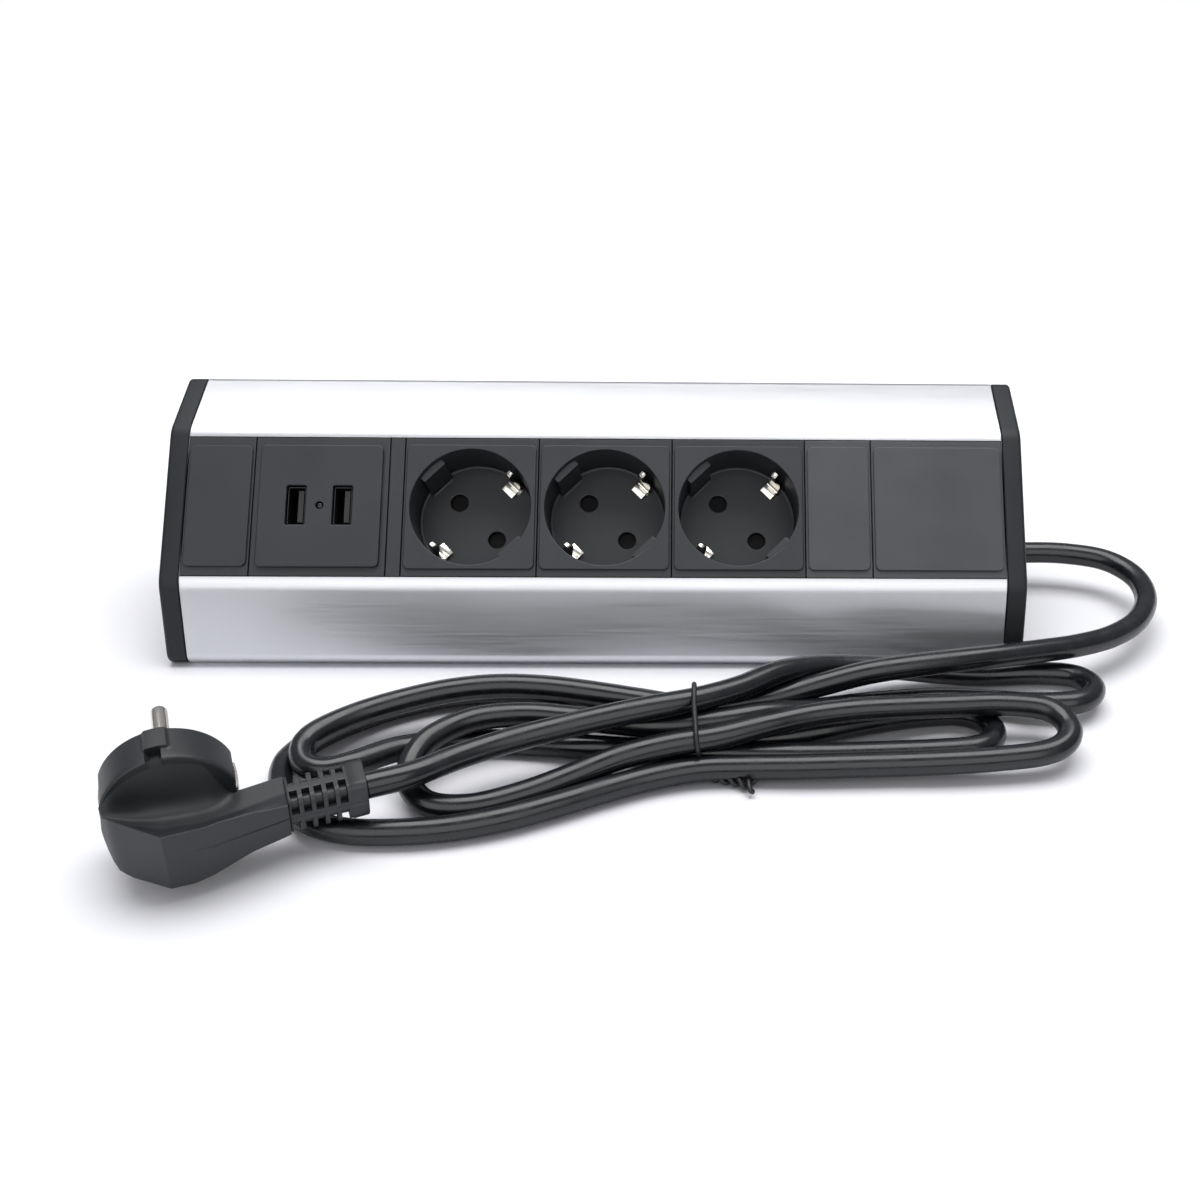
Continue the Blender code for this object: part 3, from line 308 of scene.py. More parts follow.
def drawnMetal(name, color, shade, roughness, stretch, grainMm, depthMm):
    # Metal with fine lines along the way it was drawn or pressed: the lines pull highlights out along
    # the piece. stretch is how many times longer a line is than wide, along X, Y and Z.
    material, tree, shader = startMaterial(name, Metallic=1.0)
    place = node(tree, "ShaderNodeTexCoord").outputs["Object"]
    scale = tuple(1 / (grainMm * mm * s) for s in stretch)
    along = node(tree, "ShaderNodeMapping", {"Vector": place}, Scale=scale)
    lines = node(tree, "ShaderNodeTexNoise", {"Vector": along.outputs["Vector"]}, Scale=1.0, Detail=4.0)
    cloud = node(tree, "ShaderNodeTexNoise", {"Vector": place}, Scale=1 / (45 * mm), Detail=3.0)
    tone = blendColor(tree, cloud.outputs["Fac"], shade, color)
    tree.links.new(tone, shader.inputs["Base Color"])
    addGloss(tree, shader, lines.outputs["Fac"], 0.3, 0.7, (roughness - 0.04, roughness + 0.05))
    addBump(tree, shader, lines.outputs["Fac"], 0.5, depthMm)
    return material


def sheathPvc(name, dark, light, roughness):
    # Extruded flexible PVC: an oily half gloss with long faint die lines along the lead and small
    # scuffs; the first UV runs along the lead and the second round it, both in metres.
    material, tree, shader = startMaterial(name, IOR=1.52, Specular_IOR_Level=0.5)
    way = node(tree, "ShaderNodeUVMap", uv_map="lead")
    stretched = node(tree, "ShaderNodeMapping", {"Vector": way.outputs["UV"]}, Scale=(16.0, 900.0, 1.0))
    lines = node(tree, "ShaderNodeTexNoise", {"Vector": stretched.outputs["Vector"]}, Scale=1.0, Detail=2.0)
    place = node(tree, "ShaderNodeTexCoord").outputs["Object"]
    scuff = node(tree, "ShaderNodeTexNoise", {"Vector": place}, Scale=1 / (7 * mm), Detail=6.0)
    tone = blendColor(tree, scuff.outputs["Fac"], dark, light)
    tree.links.new(tone, shader.inputs["Base Color"])
    addGloss(tree, shader, scuff.outputs["Fac"], 0.35, 0.65, (roughness - 0.05, roughness + 0.08))
    addBump(tree, shader, lines.outputs["Fac"], 0.35, 0.06)
    return material


# Black plastics and coatings. Slot: real material and making, dark and light tone, roughness, grain and its depth in mm
plastics = {
    "black_polycarbonate": ("fine-grained moulded polycarbonate", "1F2226", "2B2E33", 0.45, 0.35, 0.02),
    # blank_plate: the same polycarbonate in lighter tones, painted light for the brighter light that falls on the blank
    # plates
    "blank_plate": ("moulded polycarbonate with painted light", "3A3C40", "4A4C50", 0.42, 0.35, 0.015),
    "black_abs": ("grained moulded ABS", "15181C", "1E2126", 0.5, 0.45, 0.03, 0.36),
    "black_nylon": ("moulded nylon", "202124", "2B2C30", 0.55, 0.6, 0.03),
    # dark_acetal: the socket shutters, dark acetal painted near black with a low specular level: painted shade for the
    # deep pin holes
    "dark_acetal": ("dark acetal painted black as hole shade", "030304", "060607", 0.42, 0.8, 0.01, 0.12),
    "green_fr4": ("solder-masked circuit board", "1C4F30", "256A41", 0.35, 1.2, 0.02),
    "ferrite_core": ("sintered ferrite", "353432", "454340", 0.7, 0.3, 0.04),
    "capacitor_can": ("shrink-sleeved capacitor can", "28406A", "35528A", 0.35, 1.0, 0.01),
    "smoked_lens": ("polished smoked acrylic", "1A1B1E", "2A2C30", 0.15, 1.5, 0.003),
    "black_lcp": ("moulded contact carrier", "141517", "1E1F22", 0.45, 0.3, 0.01),
    "black_pvc_moulding": ("matt overmoulded PVC", "1D1F22", "2A2D30", 0.44, 0.4, 0.03),
    "black_tpe": ("moulded rubbery TPE", "26282A", "303235", 0.58, 0.4, 0.02),
    "brown_pvc": ("brown core insulation", "5E351D", "74462A", 0.45, 0.5, 0.01),
    "blue_pvc": ("blue core insulation", "24509C", "3464B4", 0.45, 0.5, 0.01),
    "tie_pvc": ("coated tie wire", "17181A", "232427", 0.45, 0.5, 0.01),
}
# Metals, satin to half bright. Slot: real material and making, two tones, roughness, line stretch, line width, depth
metals = {
    "anodised_aluminium": ("extruded satin anodised aluminium", "D2D3D6", "C9CACE", 0.36, (80, 1, 1), 0.35, 0.002),
    "nickel_plated_brass": ("pressed nickel-plated brass", "E4E1DA", "CFCBC3", 0.2, (4, 1, 4), 0.25, 0.01),
    # The USB shells: their nickel plate darkened, painted shade for the dark port mouths
    "tinned_shell": ("nickel shell darkened as painted shade", "4A4B4D", "3A3B3D", 0.42, (4, 1, 4), 0.25, 0.02),
    "brass": ("pressed brass strip", "C9A755", "B08F45", 0.3, (10, 1, 1), 0.3, 0.01),
    "zinc_plated_steel": ("zinc-plated screw steel", "BCC0C4", "A2A6AA", 0.33, (1, 1, 1), 0.4, 0.02),
    "spring_steel": ("drawn spring steel", "9B9FA3", "84878B", 0.3, (1, 1, 1), 0.3, 0.01),
}
materials = {slot: mouldedPlastic(*row) for slot, row in plastics.items()}
materials |= {slot: drawnMetal(*row) for slot, row in metals.items()}
materials["black_pvc_sheath"] = sheathPvc("extruded PVC sheath", "101215", "1F2226", 0.23)


def stripedCore():
    # Earth core insulation: soft-edged green and yellow bands along the wire
    material, tree, shader = startMaterial("green and yellow core insulation", Roughness=0.45, IOR=1.5)
    place = node(tree, "ShaderNodeTexCoord").outputs["Object"]
    wave = node(tree, "ShaderNodeTexWave", {"Vector": place}, Scale=1 / (38 * mm), Distortion=0.6)
    tone = blendColor(tree, wave.outputs["Fac"], "3E8E3C", "D8C93A")
    tree.links.new(tone, shader.inputs["Base Color"])
    return material


materials["green_yellow_pvc"] = stripedCore()

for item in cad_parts.values():
    for place in item.material_slots:
        key = place.material.name.split(".")[0] if place.material else ""
        if key in materials:
            place.material = materials[key]
print("stage 2: materials made for", len(materials), "finishes")

# The lead's middle line in millimetres: out of the cap, round, then back and forth through the tie to the plug
leadRoute = [
    (152.9, 20.5, 13), (167.9, 19.9, 13.1), (181.5, 15.9, 13.2), (189.3, 9, 12.8), (193, 0, 12.1),
    (192.1, -11.7, 11.3), (185.1, -24.5, 11.1), (173.9, -34.4, 11.5), (160.7, -41.4, 12.5),
    (146.7, -46.7, 13.8), (132.4, -51.2, 14.9), (117.8, -55, 15.6), (103.2, -58.4, 15.9),
    (88.5, -61.1, 15), (73.9, -63.6, 12.2), (59.5, -67.1, 9.6), (45.1, -71.2, 9.3), (30.3, -73.3, 10.2),
    (15.4, -71.8, 11.7), (0.7, -68.7, 12.2), (-14.1, -66, 12.4), (-29.1, -65.2, 12.4),
    (-43.9, -67.3, 12.1), (-58.2, -71.9, 11.4), (-71.6, -78.5, 10.7), (-81.7, -86.8, 10.2),
    (-84.7, -93.4, 9.5), (-82.5, -99.9, 8.4), (-76.2, -102.5, 8.2), (-68.8, -100, 8.5),
    (-56.9, -91.5, 7.5), (-43.4, -85.3, 5.2), (-28.6, -83.3, 4.1), (-13.6, -84.3, 3.9), (1.3, -86, 4),
    (16.2, -87.4, 3.9), (31.2, -88.5, 4), (46.2, -89.4, 3.9), (61.3, -89.8, 3.9), (76.3, -89.6, 3.9),
    (91.3, -89.1, 4.1), (106.3, -88.8, 4.6), (119.5, -87.5, 4.9), (125.5, -83.4, 4.6), (127.2, -76.8, 4.1),
    (123.7, -70.9, 3.9), (116.1, -68.3, 3.9), (101.9, -69.8, 3.9), (87.4, -73.6, 4.2), (73, -78.1, 4.4),
    (58.4, -81.2, 4.1), (43.4, -81.1, 3.9), (28.7, -78.1, 3.9), (14.7, -72.5, 4), (1.2, -65.9, 4.1),
    (-12.7, -60.4, 4.2), (-27.4, -57.4, 4.2), (-42.4, -58.1, 4.2), (-56.8, -62.4, 4.1), (-70, -69.5, 4),
    (-81.7, -78.9, 3.9), (-89.1, -89.4, 3.9), (-90.5, -98.2, 3.9), (-86.7, -110.2, 3.9),
    (-77.7, -120.2, 3.9), (-66.1, -124.8, 3.9), (-51.1, -125.4, 4), (-36.2, -123.6, 4),
    (-21.7, -119.6, 4.2), (-7.9, -113.7, 4.2), (5.6, -107.2, 4.2), (19.5, -101.3, 4.3), (34, -97.7, 4.7),
    (49, -97.1, 4.9), (64, -97.4, 5.4), (79.1, -97.1, 5.7), (94.1, -96.7, 5.9), (109.1, -96.4, 6.4),
    (124.1, -95.4, 6.8), (138.8, -93.5, 7.4), (146.5, -89.8, 8.2), (149.5, -83.7, 9.3),
    (147.2, -77.2, 10.1), (141, -73.7, 10.6), (128, -73.4, 11.5), (113, -74.7, 11.8), (98, -75.9, 12),
    (83.1, -77.7, 12.3), (68.4, -81, 12.5), (54.3, -85.9, 12.4), (40, -90.7, 11.7), (25.3, -93.7, 10.9),
    (10.9, -97.5, 9.2), (-2.9, -103, 6.6), (-16.5, -109, 4.8), (-30.6, -113.9, 4), (-41.5, -114.2, 4.1),
    (-47.8, -111.1, 5.1), (-51.1, -105.4, 7.2), (-50.6, -98.7, 9.7), (-45.7, -91.1, 11.9),
    (-34.6, -83.5, 12.8), (-20, -80.2, 12.3), (-5.1, -80.8, 11.5), (9.9, -82.5, 10.8), (24.8, -83.8, 10.5),
    (39.7, -82.6, 11.4), (53.9, -77.7, 10.8), (67.6, -72.5, 7.7), (81.3, -66.6, 5.6), (95.6, -62.4, 4.3),
    (110.5, -60.5, 3.9), (125.4, -61.9, 4.3), (140, -65.2, 5.6), (153.2, -66, 6.5), (160.1, -63.2, 6.4),
    (163.6, -57.3, 5.9), (162.1, -50.6, 5), (156.5, -46.4, 4.2), (144.9, -45.3, 3.9), (129.9, -46.4, 4),
    (115, -47, 5.3), (100.2, -48, 7.6), (85.7, -50.8, 10.4), (72, -55.9, 13.7), (59.4, -63.5, 16.6),
    (47.4, -72.5, 17.2), (34.2, -79.6, 17.8), (20, -84.5, 18.1), (5.5, -88, 16.9), (-9, -91.8, 15.4),
    (-23.1, -96.9, 14.6), (-36.2, -104.2, 14.6), (-48.3, -113.2, 15.1), (-59.9, -118.7, 15.5),
]
lead = {"diameter": 7.8, "length": 1.814, "sides": 20, "perSpan": 8}


def smoothRoute(knots, perSpan):
    # A Catmull-Rom curve: every span is the cubic through its ends with slopes from their neighbours
    knots = np.asarray(knots, float)
    padded = np.vstack([2 * knots[0] - knots[1], knots, 2 * knots[-1] - knots[-2]])
    t = (np.arange(perSpan) / perSpan)[None, :, None]
    a, b, c, d = padded[:-3, None], padded[1:-2, None], padded[2:-1, None], padded[3:, None]
    spans = 0.5 * (2 * b + (c - a) * t + (2 * a - 5 * b + 4 * c - d) * t**2 + (3 * b - a - 3 * c + d) * t**3)
    return np.vstack([spans.reshape(-1, 3), padded[-2]])


def carriedFrames(path):
    # A pair of cross directions carried along a path, each turned only as much as the path bends
    along = np.gradient(path, axis=0)
    along /= np.linalg.norm(along, axis=1)[:, None]
    side = np.cross(along[0], (0, 0, 1.0))
    sides = []
    for direction in along:
        side = side - direction * (side @ direction)
        side = side / np.linalg.norm(side)
        sides.append(side)
    sides = np.array(sides)
    return sides, np.cross(along, sides)


def tubePiece(name, path, radii, slot, sides, uvName, **hand):
    # A circle carried along the path: middle + radius * (cos turn * side + sin turn * up), ends domed
    path = np.asarray(path, float)
    radii = np.broadcast_to(radii, len(path)).astype(float)
    side, up = carriedFrames(path)
    turn = np.arange(sides) / sides * math.tau
    ring = np.cos(turn)[None, :, None] * side[:, None] + np.sin(turn)[None, :, None] * up[:, None]
    grid = path[:, None] + ring * radii[:, None, None]
    shape = newShape()
    index = addGrid(shape, grid)
    for row, out in ((0, path[0] - path[1]), (-1, path[-1] - path[-2])):
        tip = addPoints(shape, (path[row] + out / np.linalg.norm(out) * radii[row] * 0.15)[None])[0]
        loop = index[row]
        shape["faces"] += np.stack([loop, np.roll(loop, -1), np.full(sides, tip)], -1).tolist()
    item = finishShape(shape, name, worldFrame, slot, **hand)
    addTubeUv(item.data, grid, uvName)
    return item


def addTubeUv(mesh, grid, uvName):
    # Length along the tube and length round it, in metres, found for each corner from its ring and side
    rows, sides = grid.shape[:2]
    run = np.concatenate([[0], np.cumsum(np.linalg.norm(np.diff(grid.mean(1), axis=0), axis=1))]) * mm
    round_ = np.arange(sides) / sides * math.tau * lead["diameter"] / 2 * mm
    layer = mesh.uv_layers.new(name=uvName)
    corner = np.zeros(len(mesh.loops), int)
    mesh.loops.foreach_get("vertex_index", corner)
    corner = np.minimum(corner, rows * sides - 1)
    column = corner % sides
    face = np.repeat(np.arange(len(mesh.polygons)), [p.loop_total for p in mesh.polygons])
    wraps = np.zeros(len(mesh.polygons), bool)
    np.logical_or.at(wraps, face, column == sides - 1)
    across = round_[column] + np.where(wraps[face] & (column == 0), math.tau * lead["diameter"] / 2 * mm, 0)
    layer.data.foreach_set("uv", np.column_stack([run[corner // sides], across]).ravel())


leadPath = smoothRoute(leadRoute, lead["perSpan"])
leadPiece = tubePiece(
    "mains_lead",
    leadPath,
    lead["diameter"] / 2,
    "black_pvc_sheath",
    sides=lead["sides"],
    uvName="lead",
    smooth=60.0,
    replaces=("cord_lead", "cord_hank", "cord_plug_end"),
)
print("stage 3: lead laid,", round(float(np.linalg.norm(np.diff(leadPath, axis=0), axis=1).sum())), "mm")

# The tie: a coated wire pulled tight round the strands, its two ends twisted together and bent along the floor
tie = {"x": 34.0, "wire": 0.8, "twistTurns": 2.6, "twistLength": 17.0, "twistRadius": 1.0}


def convexLoop(points):
    # The outer corners of a set of flat points, walked round by cross products
    points = sorted(map(tuple, points))
    halves = []
    for run in (points, points[::-1]):
        chain = []
        for p in run:
            while len(chain) > 1 and np.cross(np.subtract(chain[-1], chain[-2]), np.subtract(p, chain[-1])) <= 0:
                chain.pop()
            chain.append(p)
        halves += chain[:-1]
    return np.array(halves)


def makeTie():
    # Strands cut by the tie's plane, each a circle; the wire follows the hull of those circles
    a, b = leadPath[:-1], leadPath[1:]
    crossing = (a[:, 0] - tie["x"]) * (b[:, 0] - tie["x"]) < 0
    t = ((tie["x"] - a[crossing, 0]) / (b[crossing, 0] - a[crossing, 0]))[:, None]
    cuts = (a[crossing] + (b[crossing] - a[crossing]) * t)[:, 1:]
    cuts = cuts[cuts[:, 0] < -50]
    reach = lead["diameter"] / 2 + tie["wire"] - 0.1
    around = np.concatenate([circleLoop(reach, 24, c) for c in cuts])
    hull = convexLoop(around)
    hull[:, 1] = np.maximum(hull[:, 1], tie["wire"])
    closed = np.vstack([hull, hull[:1]])
    run = np.concatenate([[0], np.cumsum(np.linalg.norm(np.diff(closed, axis=0), axis=1))])
    even = np.linspace(0, run[-1], 121)
    loop = np.column_stack([np.interp(even, run, closed[:, k]) for k in (0, 1)])
    lean = np.interp(loop[:, 1], (0, 20), (1.4, -1.2))
    path = np.column_stack([tie["x"] + lean, loop])
    shape = newShape()
    side, up = carriedFrames(path)
    turn = np.arange(10) / 10 * math.tau
    ring = np.cos(turn)[None, :, None] * side[:, None] + np.sin(turn)[None, :, None] * up[:, None]
    addGrid(shape, (path[:, None] + ring * tie["wire"])[:-1], closeAlong=True)
    # Both ends wind round each other: a helix about a line that runs out from the lowest front corner
    front = loop[np.argmin(loop[:, 0] + 0.3 * loop[:, 1])]
    start = np.array([tie["x"] + 1.5, front[0] - 0.6, 2.2])
    heading = np.array([0.93, -0.3, 0.0])
    s = np.linspace(0, 1, 90)
    for phase in (0, math.pi):
        angle = phase + s * tie["twistTurns"] * math.tau
        middle = start + s[:, None] * tie["twistLength"] * heading
        spread = tie["twistRadius"] * (1 + 0.25 * np.sin(9 * s + phase) + 2.2 * np.maximum(s - 0.72, 0) / 0.28)
        cross = np.array([0.3, 0.93, 0.0])
        wind = middle + (spread * np.cos(angle))[:, None] * cross
        wind[:, 2] += tie["twistRadius"] * np.sin(angle)
        wind[:, 2] = np.maximum(wind[:, 2], tie["wire"] + 0.05)
        side, up = carriedFrames(wind)
        tube = wind[:, None] + (
            np.cos(turn)[None, :, None] * side[:, None] + np.sin(turn)[None, :, None] * up[:, None]
        ) * tie["wire"]
        index = addGrid(shape, tube)
        closeEnds(shape, index)
    return finishShape(
        shape, "tie_wire", worldFrame, "tie_pvc", smooth=60.0, replaces=("cord_tie",)
    )


tiePiece = makeTie()

plug = {
    "radius": 18.4,
    "rimDepth": 13.0,
    "edge": 0.6,
    "flat": 17.3,
    "guideAt": -1.2,
    "guideHalf": 3.0,
    "notchAt": -2.1,
    "notchHalf": 1.7,
    "guideRise": 0.7,
    "guideNotch": 2.2,
    "left": -17.8,
    "right": 29.5,
    "columns": 240,
    "ridgeUpper": ((-18, -12, -3, 12, 20, 30), (8.6, 7.8, 7.0, 7.4, 6.6, 4.4)),
    "ridgeLower": ((-18, -12, 3, 19, 27, 30), (9.5, 12.0, 12.2, 7.4, 6.6, 6.4)),
    "waistUpper": ((-18, -10, 6, 14, 21, 30), (3.4, 1.8, 1.0, 1.4, 2.2, 3.3)),
    "waistLower": ((-18, -10, 6, 14, 21, 30), (4.0, 2.8, 2.2, 3.4, 5.0, 6.2)),
}
boot = {
    "start": 29.6,
    "end": 51.2,
    "half": 6.1,
    "corner": 2.4,
    "level": 18.7,
    "slots": 5,
    "slot": 31.4,
    "pitch": 3.3,
    "width": 1.9,
    "deep": 1.9,
}


def plugFrame():
    # Axes from the frame's own pins and earth strips: along the neck, along the pins' line, out of the back
    def centre(node_):
        low, high = boxMm(node_)
        return (low + high) / 2

    pinA, pinB = centre("plug_pin_1"), centre("plug_pin_2")
    stripA, stripB = centre("plug_earth_strip_1"), centre("plug_earth_strip_2")
    axes = [stripA - stripB, pinA - pinB, (stripA + stripB - pinA - pinB) / 2]
    axes = np.array([axis / np.linalg.norm(axis) for axis in axes])
    pinsMiddle = -5.0
    middle = (pinA + pinB) / 2 - axes[2] * pinsMiddle
    return np.column_stack([axes.T, middle])


plugPlace = plugFrame()


def carried(stations, sections):
    # (station, x, y) for every point of every section
    along = np.broadcast_to(stations[:, None, None], (*sections.shape[:2], 1))
    return np.concatenate([along, sections], -1)


def step(value, low, high):
    # A smooth step from 0 to 1 between two values
    t = np.clip((value - low) / (high - low), 0, 1)
    return t * t * (3 - 2 * t)


def makePlugDisc(shape):
    # Radius against turn and depth: a round rim with a raised guide and a notch at each end of the pins' line
    turn = np.arange(plug["columns"]) / plug["columns"] * math.tau
    t = np.linspace(0, math.pi / 2, 5)
    depth = np.concatenate([0.3 + plug["edge"] * (1 - np.cos(t)), np.linspace(1.5, 8.2, 4), [8.4, 8.6, 10.5]])
    depth = np.concatenate([depth, plug["rimDepth"] - plug["edge"] * (1 - np.sin(t))])
    shrink = np.concatenate([plug["edge"] * (1 - np.sin(t)), np.zeros(7), plug["edge"] * (1 - np.cos(t))])
    across = plug["radius"] * np.cos(turn)
    guide = step(plug["guideHalf"] + 0.35 - np.abs(across - plug["guideAt"]), 0, 0.6)
    notch = step(plug["notchHalf"] + 0.35 - np.abs(across - plug["notchAt"]), 0, 0.6)
    far = step(8.6 - depth, 0, 0.2)
    rise = guide[None] * plug["guideRise"] * far[:, None] - notch[None] * plug["guideNotch"] * (1 - far)[:, None]
    # Flats at both ends of the neck's line carry the earth strips: radius = flat / |cos turn| where that is less
    outline = np.minimum(plug["radius"], plug["flat"] / np.maximum(np.abs(np.cos(turn)), 0.1))
    radius = outline - shrink[:, None] + rise
    grid = np.stack([radius * np.cos(turn), radius * np.sin(turn), np.broadcast_to(depth[:, None], radius.shape)], -1)
    index = addGrid(shape, grid)
    holes = []
    for side_ in (-1, 1):
        loops = [circleLoop(r, 28, (0, side_ * 9.5)) for r in (2.9, 2.7, 2.7)]
        holes.append(addGrid(shape, levels(loops, [0.3, 0.5, 2.5])))
        addFlat(shape, [holes[-1][-1]])
    addFlat(shape, [index[0], *[h[0] for h in holes]])
    addFlat(shape, [index[-1]])


def makePlugGrip(shape):
    # A loft along the neck. Every section is a waisted outline: it leaves the rim, curves in to the finger
    # hollow, flares to the ridge and closes over the flat back, where the mould's parting line runs
    s = np.concatenate([plug["left"] + np.array([0, 0.15, 0.6, 1.4, 2.6, 4.2]), np.linspace(-12, -3.2, 10)])
    s = np.concatenate([s, [-3.0], np.linspace(-2.6, 12, 18), np.linspace(13, plug["right"], 16)])
    closed = np.sqrt(np.clip(1 - np.clip((plug["left"] + 3.0 - s) / 3.0, 0, 1) ** 2, 0.02, 1))
    disc = np.minimum(np.sqrt(np.clip(plug["radius"] ** 2 - s**2, 0, None)) * 0.985, plug["radius"])
    top = np.interp(s, (-18, -15.5, -3, 8, 27, 30), (16.0, 21.5, 31.0, 30.6, 26.1, 25.2))
    base = np.interp(s, (-18, 15, 27), (12.7, 12.7, 11.8))

    def halfOf(ridgeAt, waistAt):
        # Rises from the rim, curves in by (1 - t / 0.5)^4.5, then out to the ridge by ((t - 0.5) / 0.48)^1.5
        ridge = np.interp(s, *ridgeAt) * closed
        waist = np.minimum(np.interp(s, *waistAt), ridge)
        foot = np.maximum(np.where(s < 18, disc, 0), waist)
        foot = foot + (waist - foot) * step(s, 9, 17)
        t = np.linspace(0, 1, 33)[None]
        fall = np.clip(1 - t / 0.5, 0, 1) ** 4.5
        flare = np.clip((t - 0.5) / 0.48, 0, 1) ** 1.5
        side_ = waist[:, None] + (foot - waist)[:, None] * fall + (ridge - waist)[:, None] * flare
        height = base[:, None] + (top - base)[:, None] * t
        # Ridge edge: points that break the corner, then the slightly crowned back with its parting groove
        back = np.array([0.985, 0.9, 0.75, 0.5, 0.25, 0.05, 0.02, 0.0])
        crown = 0.25 * (1 - back**2)
        groove = np.where(back < 0.03, 0.3, 0.0)[None] * step(s, 4, 6)[:, None]
        over = np.stack([ridge[:, None] * back[None], top[:, None] + 0.22 + crown[None] - groove], -1)
        return np.concatenate([np.stack([side_, height], -1), over], 1)

    upper = halfOf(plug["ridgeUpper"], plug["waistUpper"])
    lower = halfOf(plug["ridgeLower"], plug["waistLower"])
    section = np.concatenate([upper, lower[:, ::-1][:, 1:] * (-1, 1)], 1)
    index = addGrid(shape, carried(s, section))
    closeEnds(shape, index)


def makePlugBoot():
    # A rounded square carried along the lead: between its ribs it is cut back, except along four spines
    shape = newShape()
    walls = 0.12
    stations = [boot["start"], boot["start"] + 0.3]
    for k in range(boot["slots"]):
        a = boot["slot"] + boot["pitch"] * k - boot["width"] / 2
        stations += [a - walls, a, a + boot["width"], a + boot["width"] + walls]
    collar = boot["slot"] + (boot["slots"] - 1) * boot["pitch"] + boot["width"]
    stations += [collar, collar + 0.4, boot["end"] - 0.8, boot["end"] - 0.3, boot["end"]]
    s = np.array(sorted(stations))
    slotMiddle = boot["slot"] + boot["pitch"] * np.arange(boot["slots"])
    inSlot = (np.abs(s[:, None] - slotMiddle[None]) < boot["width"] / 2 + 0.01).any(1)
    loop = boxLoop(boot["half"], boot["half"], boot["corner"], steps=8)
    arcs = loop.reshape(4, -1, 2)
    straight = [np.linspace(arcs[k][-1], arcs[(k + 1) % 4][0], 26)[1:-1] for k in range(4)]
    loop = np.concatenate([np.concatenate([arcs[k], straight[k]]) for k in range(4)])
    keep = step(np.minimum(np.abs(loop[:, 0]), np.abs(loop[:, 1])), 1.3, 1.6)
    inward = -loop / np.linalg.norm(loop, axis=1)[:, None]
    seam = np.where((np.abs(loop[:, 0]) < 0.2) & (loop[:, 1] > 0), 0.3, 0.0)
    start, end = boot["start"], boot["end"]
    places = (start, start + 0.3, collar, collar + 0.4, end - 0.3, end)
    size = np.interp(s, places, (0.97, 1.0, 1.0, 1.04, 1.04, 0.99))
    cut = inSlot[:, None] * keep[None] * boot["deep"] + seam[None]
    section = loop[None] * size[:, None, None] + inward[None] * cut[..., None]
    grid = carried(s, section + (0, boot["level"]))
    grid[..., 1] += np.interp(s, (start, collar, end), (-1.5, -0.5, 0.0))[:, None]
    index = addGrid(shape, grid)
    rims = np.array([1.05, 1.0, 0.95])[:, None, None] * circleLoop(4.3, 40)[None]
    hole = addGrid(shape, carried(np.array([end, end - 0.3, end - 3]), rims + (0, boot["level"])))
    addFlat(shape, [index[-1], hole[0]])
    addFlat(shape, [hole[-1]])
    addFlat(shape, [index[0]])
    pvc = "black_pvc_moulding"
    return finishShape(shape, "plug_boot_moulding", plugPlace, pvc, smooth=38.0, replaces=("plug_boot",))


def makePlugMetal():
    # Pins: radius against depth, with a rounded nose; earth strips: a bowed plate proud of the rim
    pieces = []
    t = np.linspace(0, math.pi / 2, 7)
    depth = np.concatenate([-19 + 1.6 * (1 - np.cos(t)), [-14.0, -6.0, 9.0]])
    radius = np.concatenate([1.0 + 1.4 * np.sin(t), [2.4, 2.4, 2.4]])
    b = np.linspace(0.8, 11.6, 16)
    bow = plug["flat"] - 0.35 + 0.7 * np.sin(np.linspace(0.1, 1, 16) * math.pi) ** 0.7
    outline = np.array([(0, -2.2), (0.45, -2.1), (0.55, 0), (0.45, 2.1), (0, 2.2), (-0.4, 2.1), (-0.4, -2.1)])
    for number, side_ in ((1, 1), (2, -1)):
        shape = newShape()
        closeEnds(shape, addGrid(shape, levels([circleLoop(r, 40, (0, side_ * 9.5)) for r in radius], depth)))
        pin = shape
        shape = newShape()
        out = side_ * (bow[:, None] + outline[None, :, 0])
        across = np.broadcast_to(outline[None, :, 1], out.shape)
        grid = np.stack([out, across, np.broadcast_to(b[:, None], out.shape)], -1)
        closeEnds(shape, addGrid(shape, grid))
        made = ((pin, "plug_pin_{}_turned", "plug_pin_{}"), (shape, "plug_earth_spring_{}", "plug_earth_strip_{}"))
        for part, name, solid in made:
            replaced = (solid.format(number),)
            name = name.format(number)
            hand = {"smooth": 40.0, "replaces": replaced}
            pieces.append(finishShape(part, name, plugPlace, "nickel_plated_brass", **hand))
    return pieces


def makePlug():
    shape = newShape()
    makePlugDisc(shape)
    makePlugGrip(shape)
    pvc = "black_pvc_moulding"
    body = finishShape(shape, "plug_body_moulding", plugPlace, pvc, smooth=32.0, replaces=("plug_body",))
    return [body, makePlugBoot(), *makePlugMetal()]


plugPieces = makePlug()

profile = {
    "halfLeg": 37.3,
    "leg": 74.6,
    "leanDegrees": 15.5,
    "cornerRadii": (4.0, 2.0, 3.0, 10.0, 10.0),
    "wall": 1.8,
    "opening": 24.4,
    "lip": 5.0,
    "lipThick": 1.6,
    "portRadius": 3.7,
    "portHole": 1.8,
}
rawBandY = -10.3
rawBandZ = 47.6
ports = ((-30.9, 4.9), (32.4, 68.2))
sectionShift = bandY - rawBandY


def sectionCorners():
    # Front foot, back foot, top edge, upper knee and lower knee; the two knee faces lean by the same angle
    slope = math.tan(math.radians(profile["leanDegrees"]))
    offset = rawBandZ - rawBandY
    kneeY = (-profile["halfLeg"] + offset * slope) / (1 - slope)
    lower = (kneeY, kneeY + offset)
    upper = (profile["halfLeg"] - lower[1], profile["halfLeg"] - lower[0])
    half = profile["halfLeg"]
    return np.array([(-half, 0), (half, 0), (half, profile["leg"]), upper, lower]) + (sectionShift, 0)


def bandPoint(v, w):
    return (bandY + (v - w) * root, bandZ + (v + w) * root)


corners = sectionCorners()
sectionLoop = roundedLoop(corners, profile["cornerRadii"], steps=10)
portPlaces = [(y + sectionShift, z) for y, z in ports]


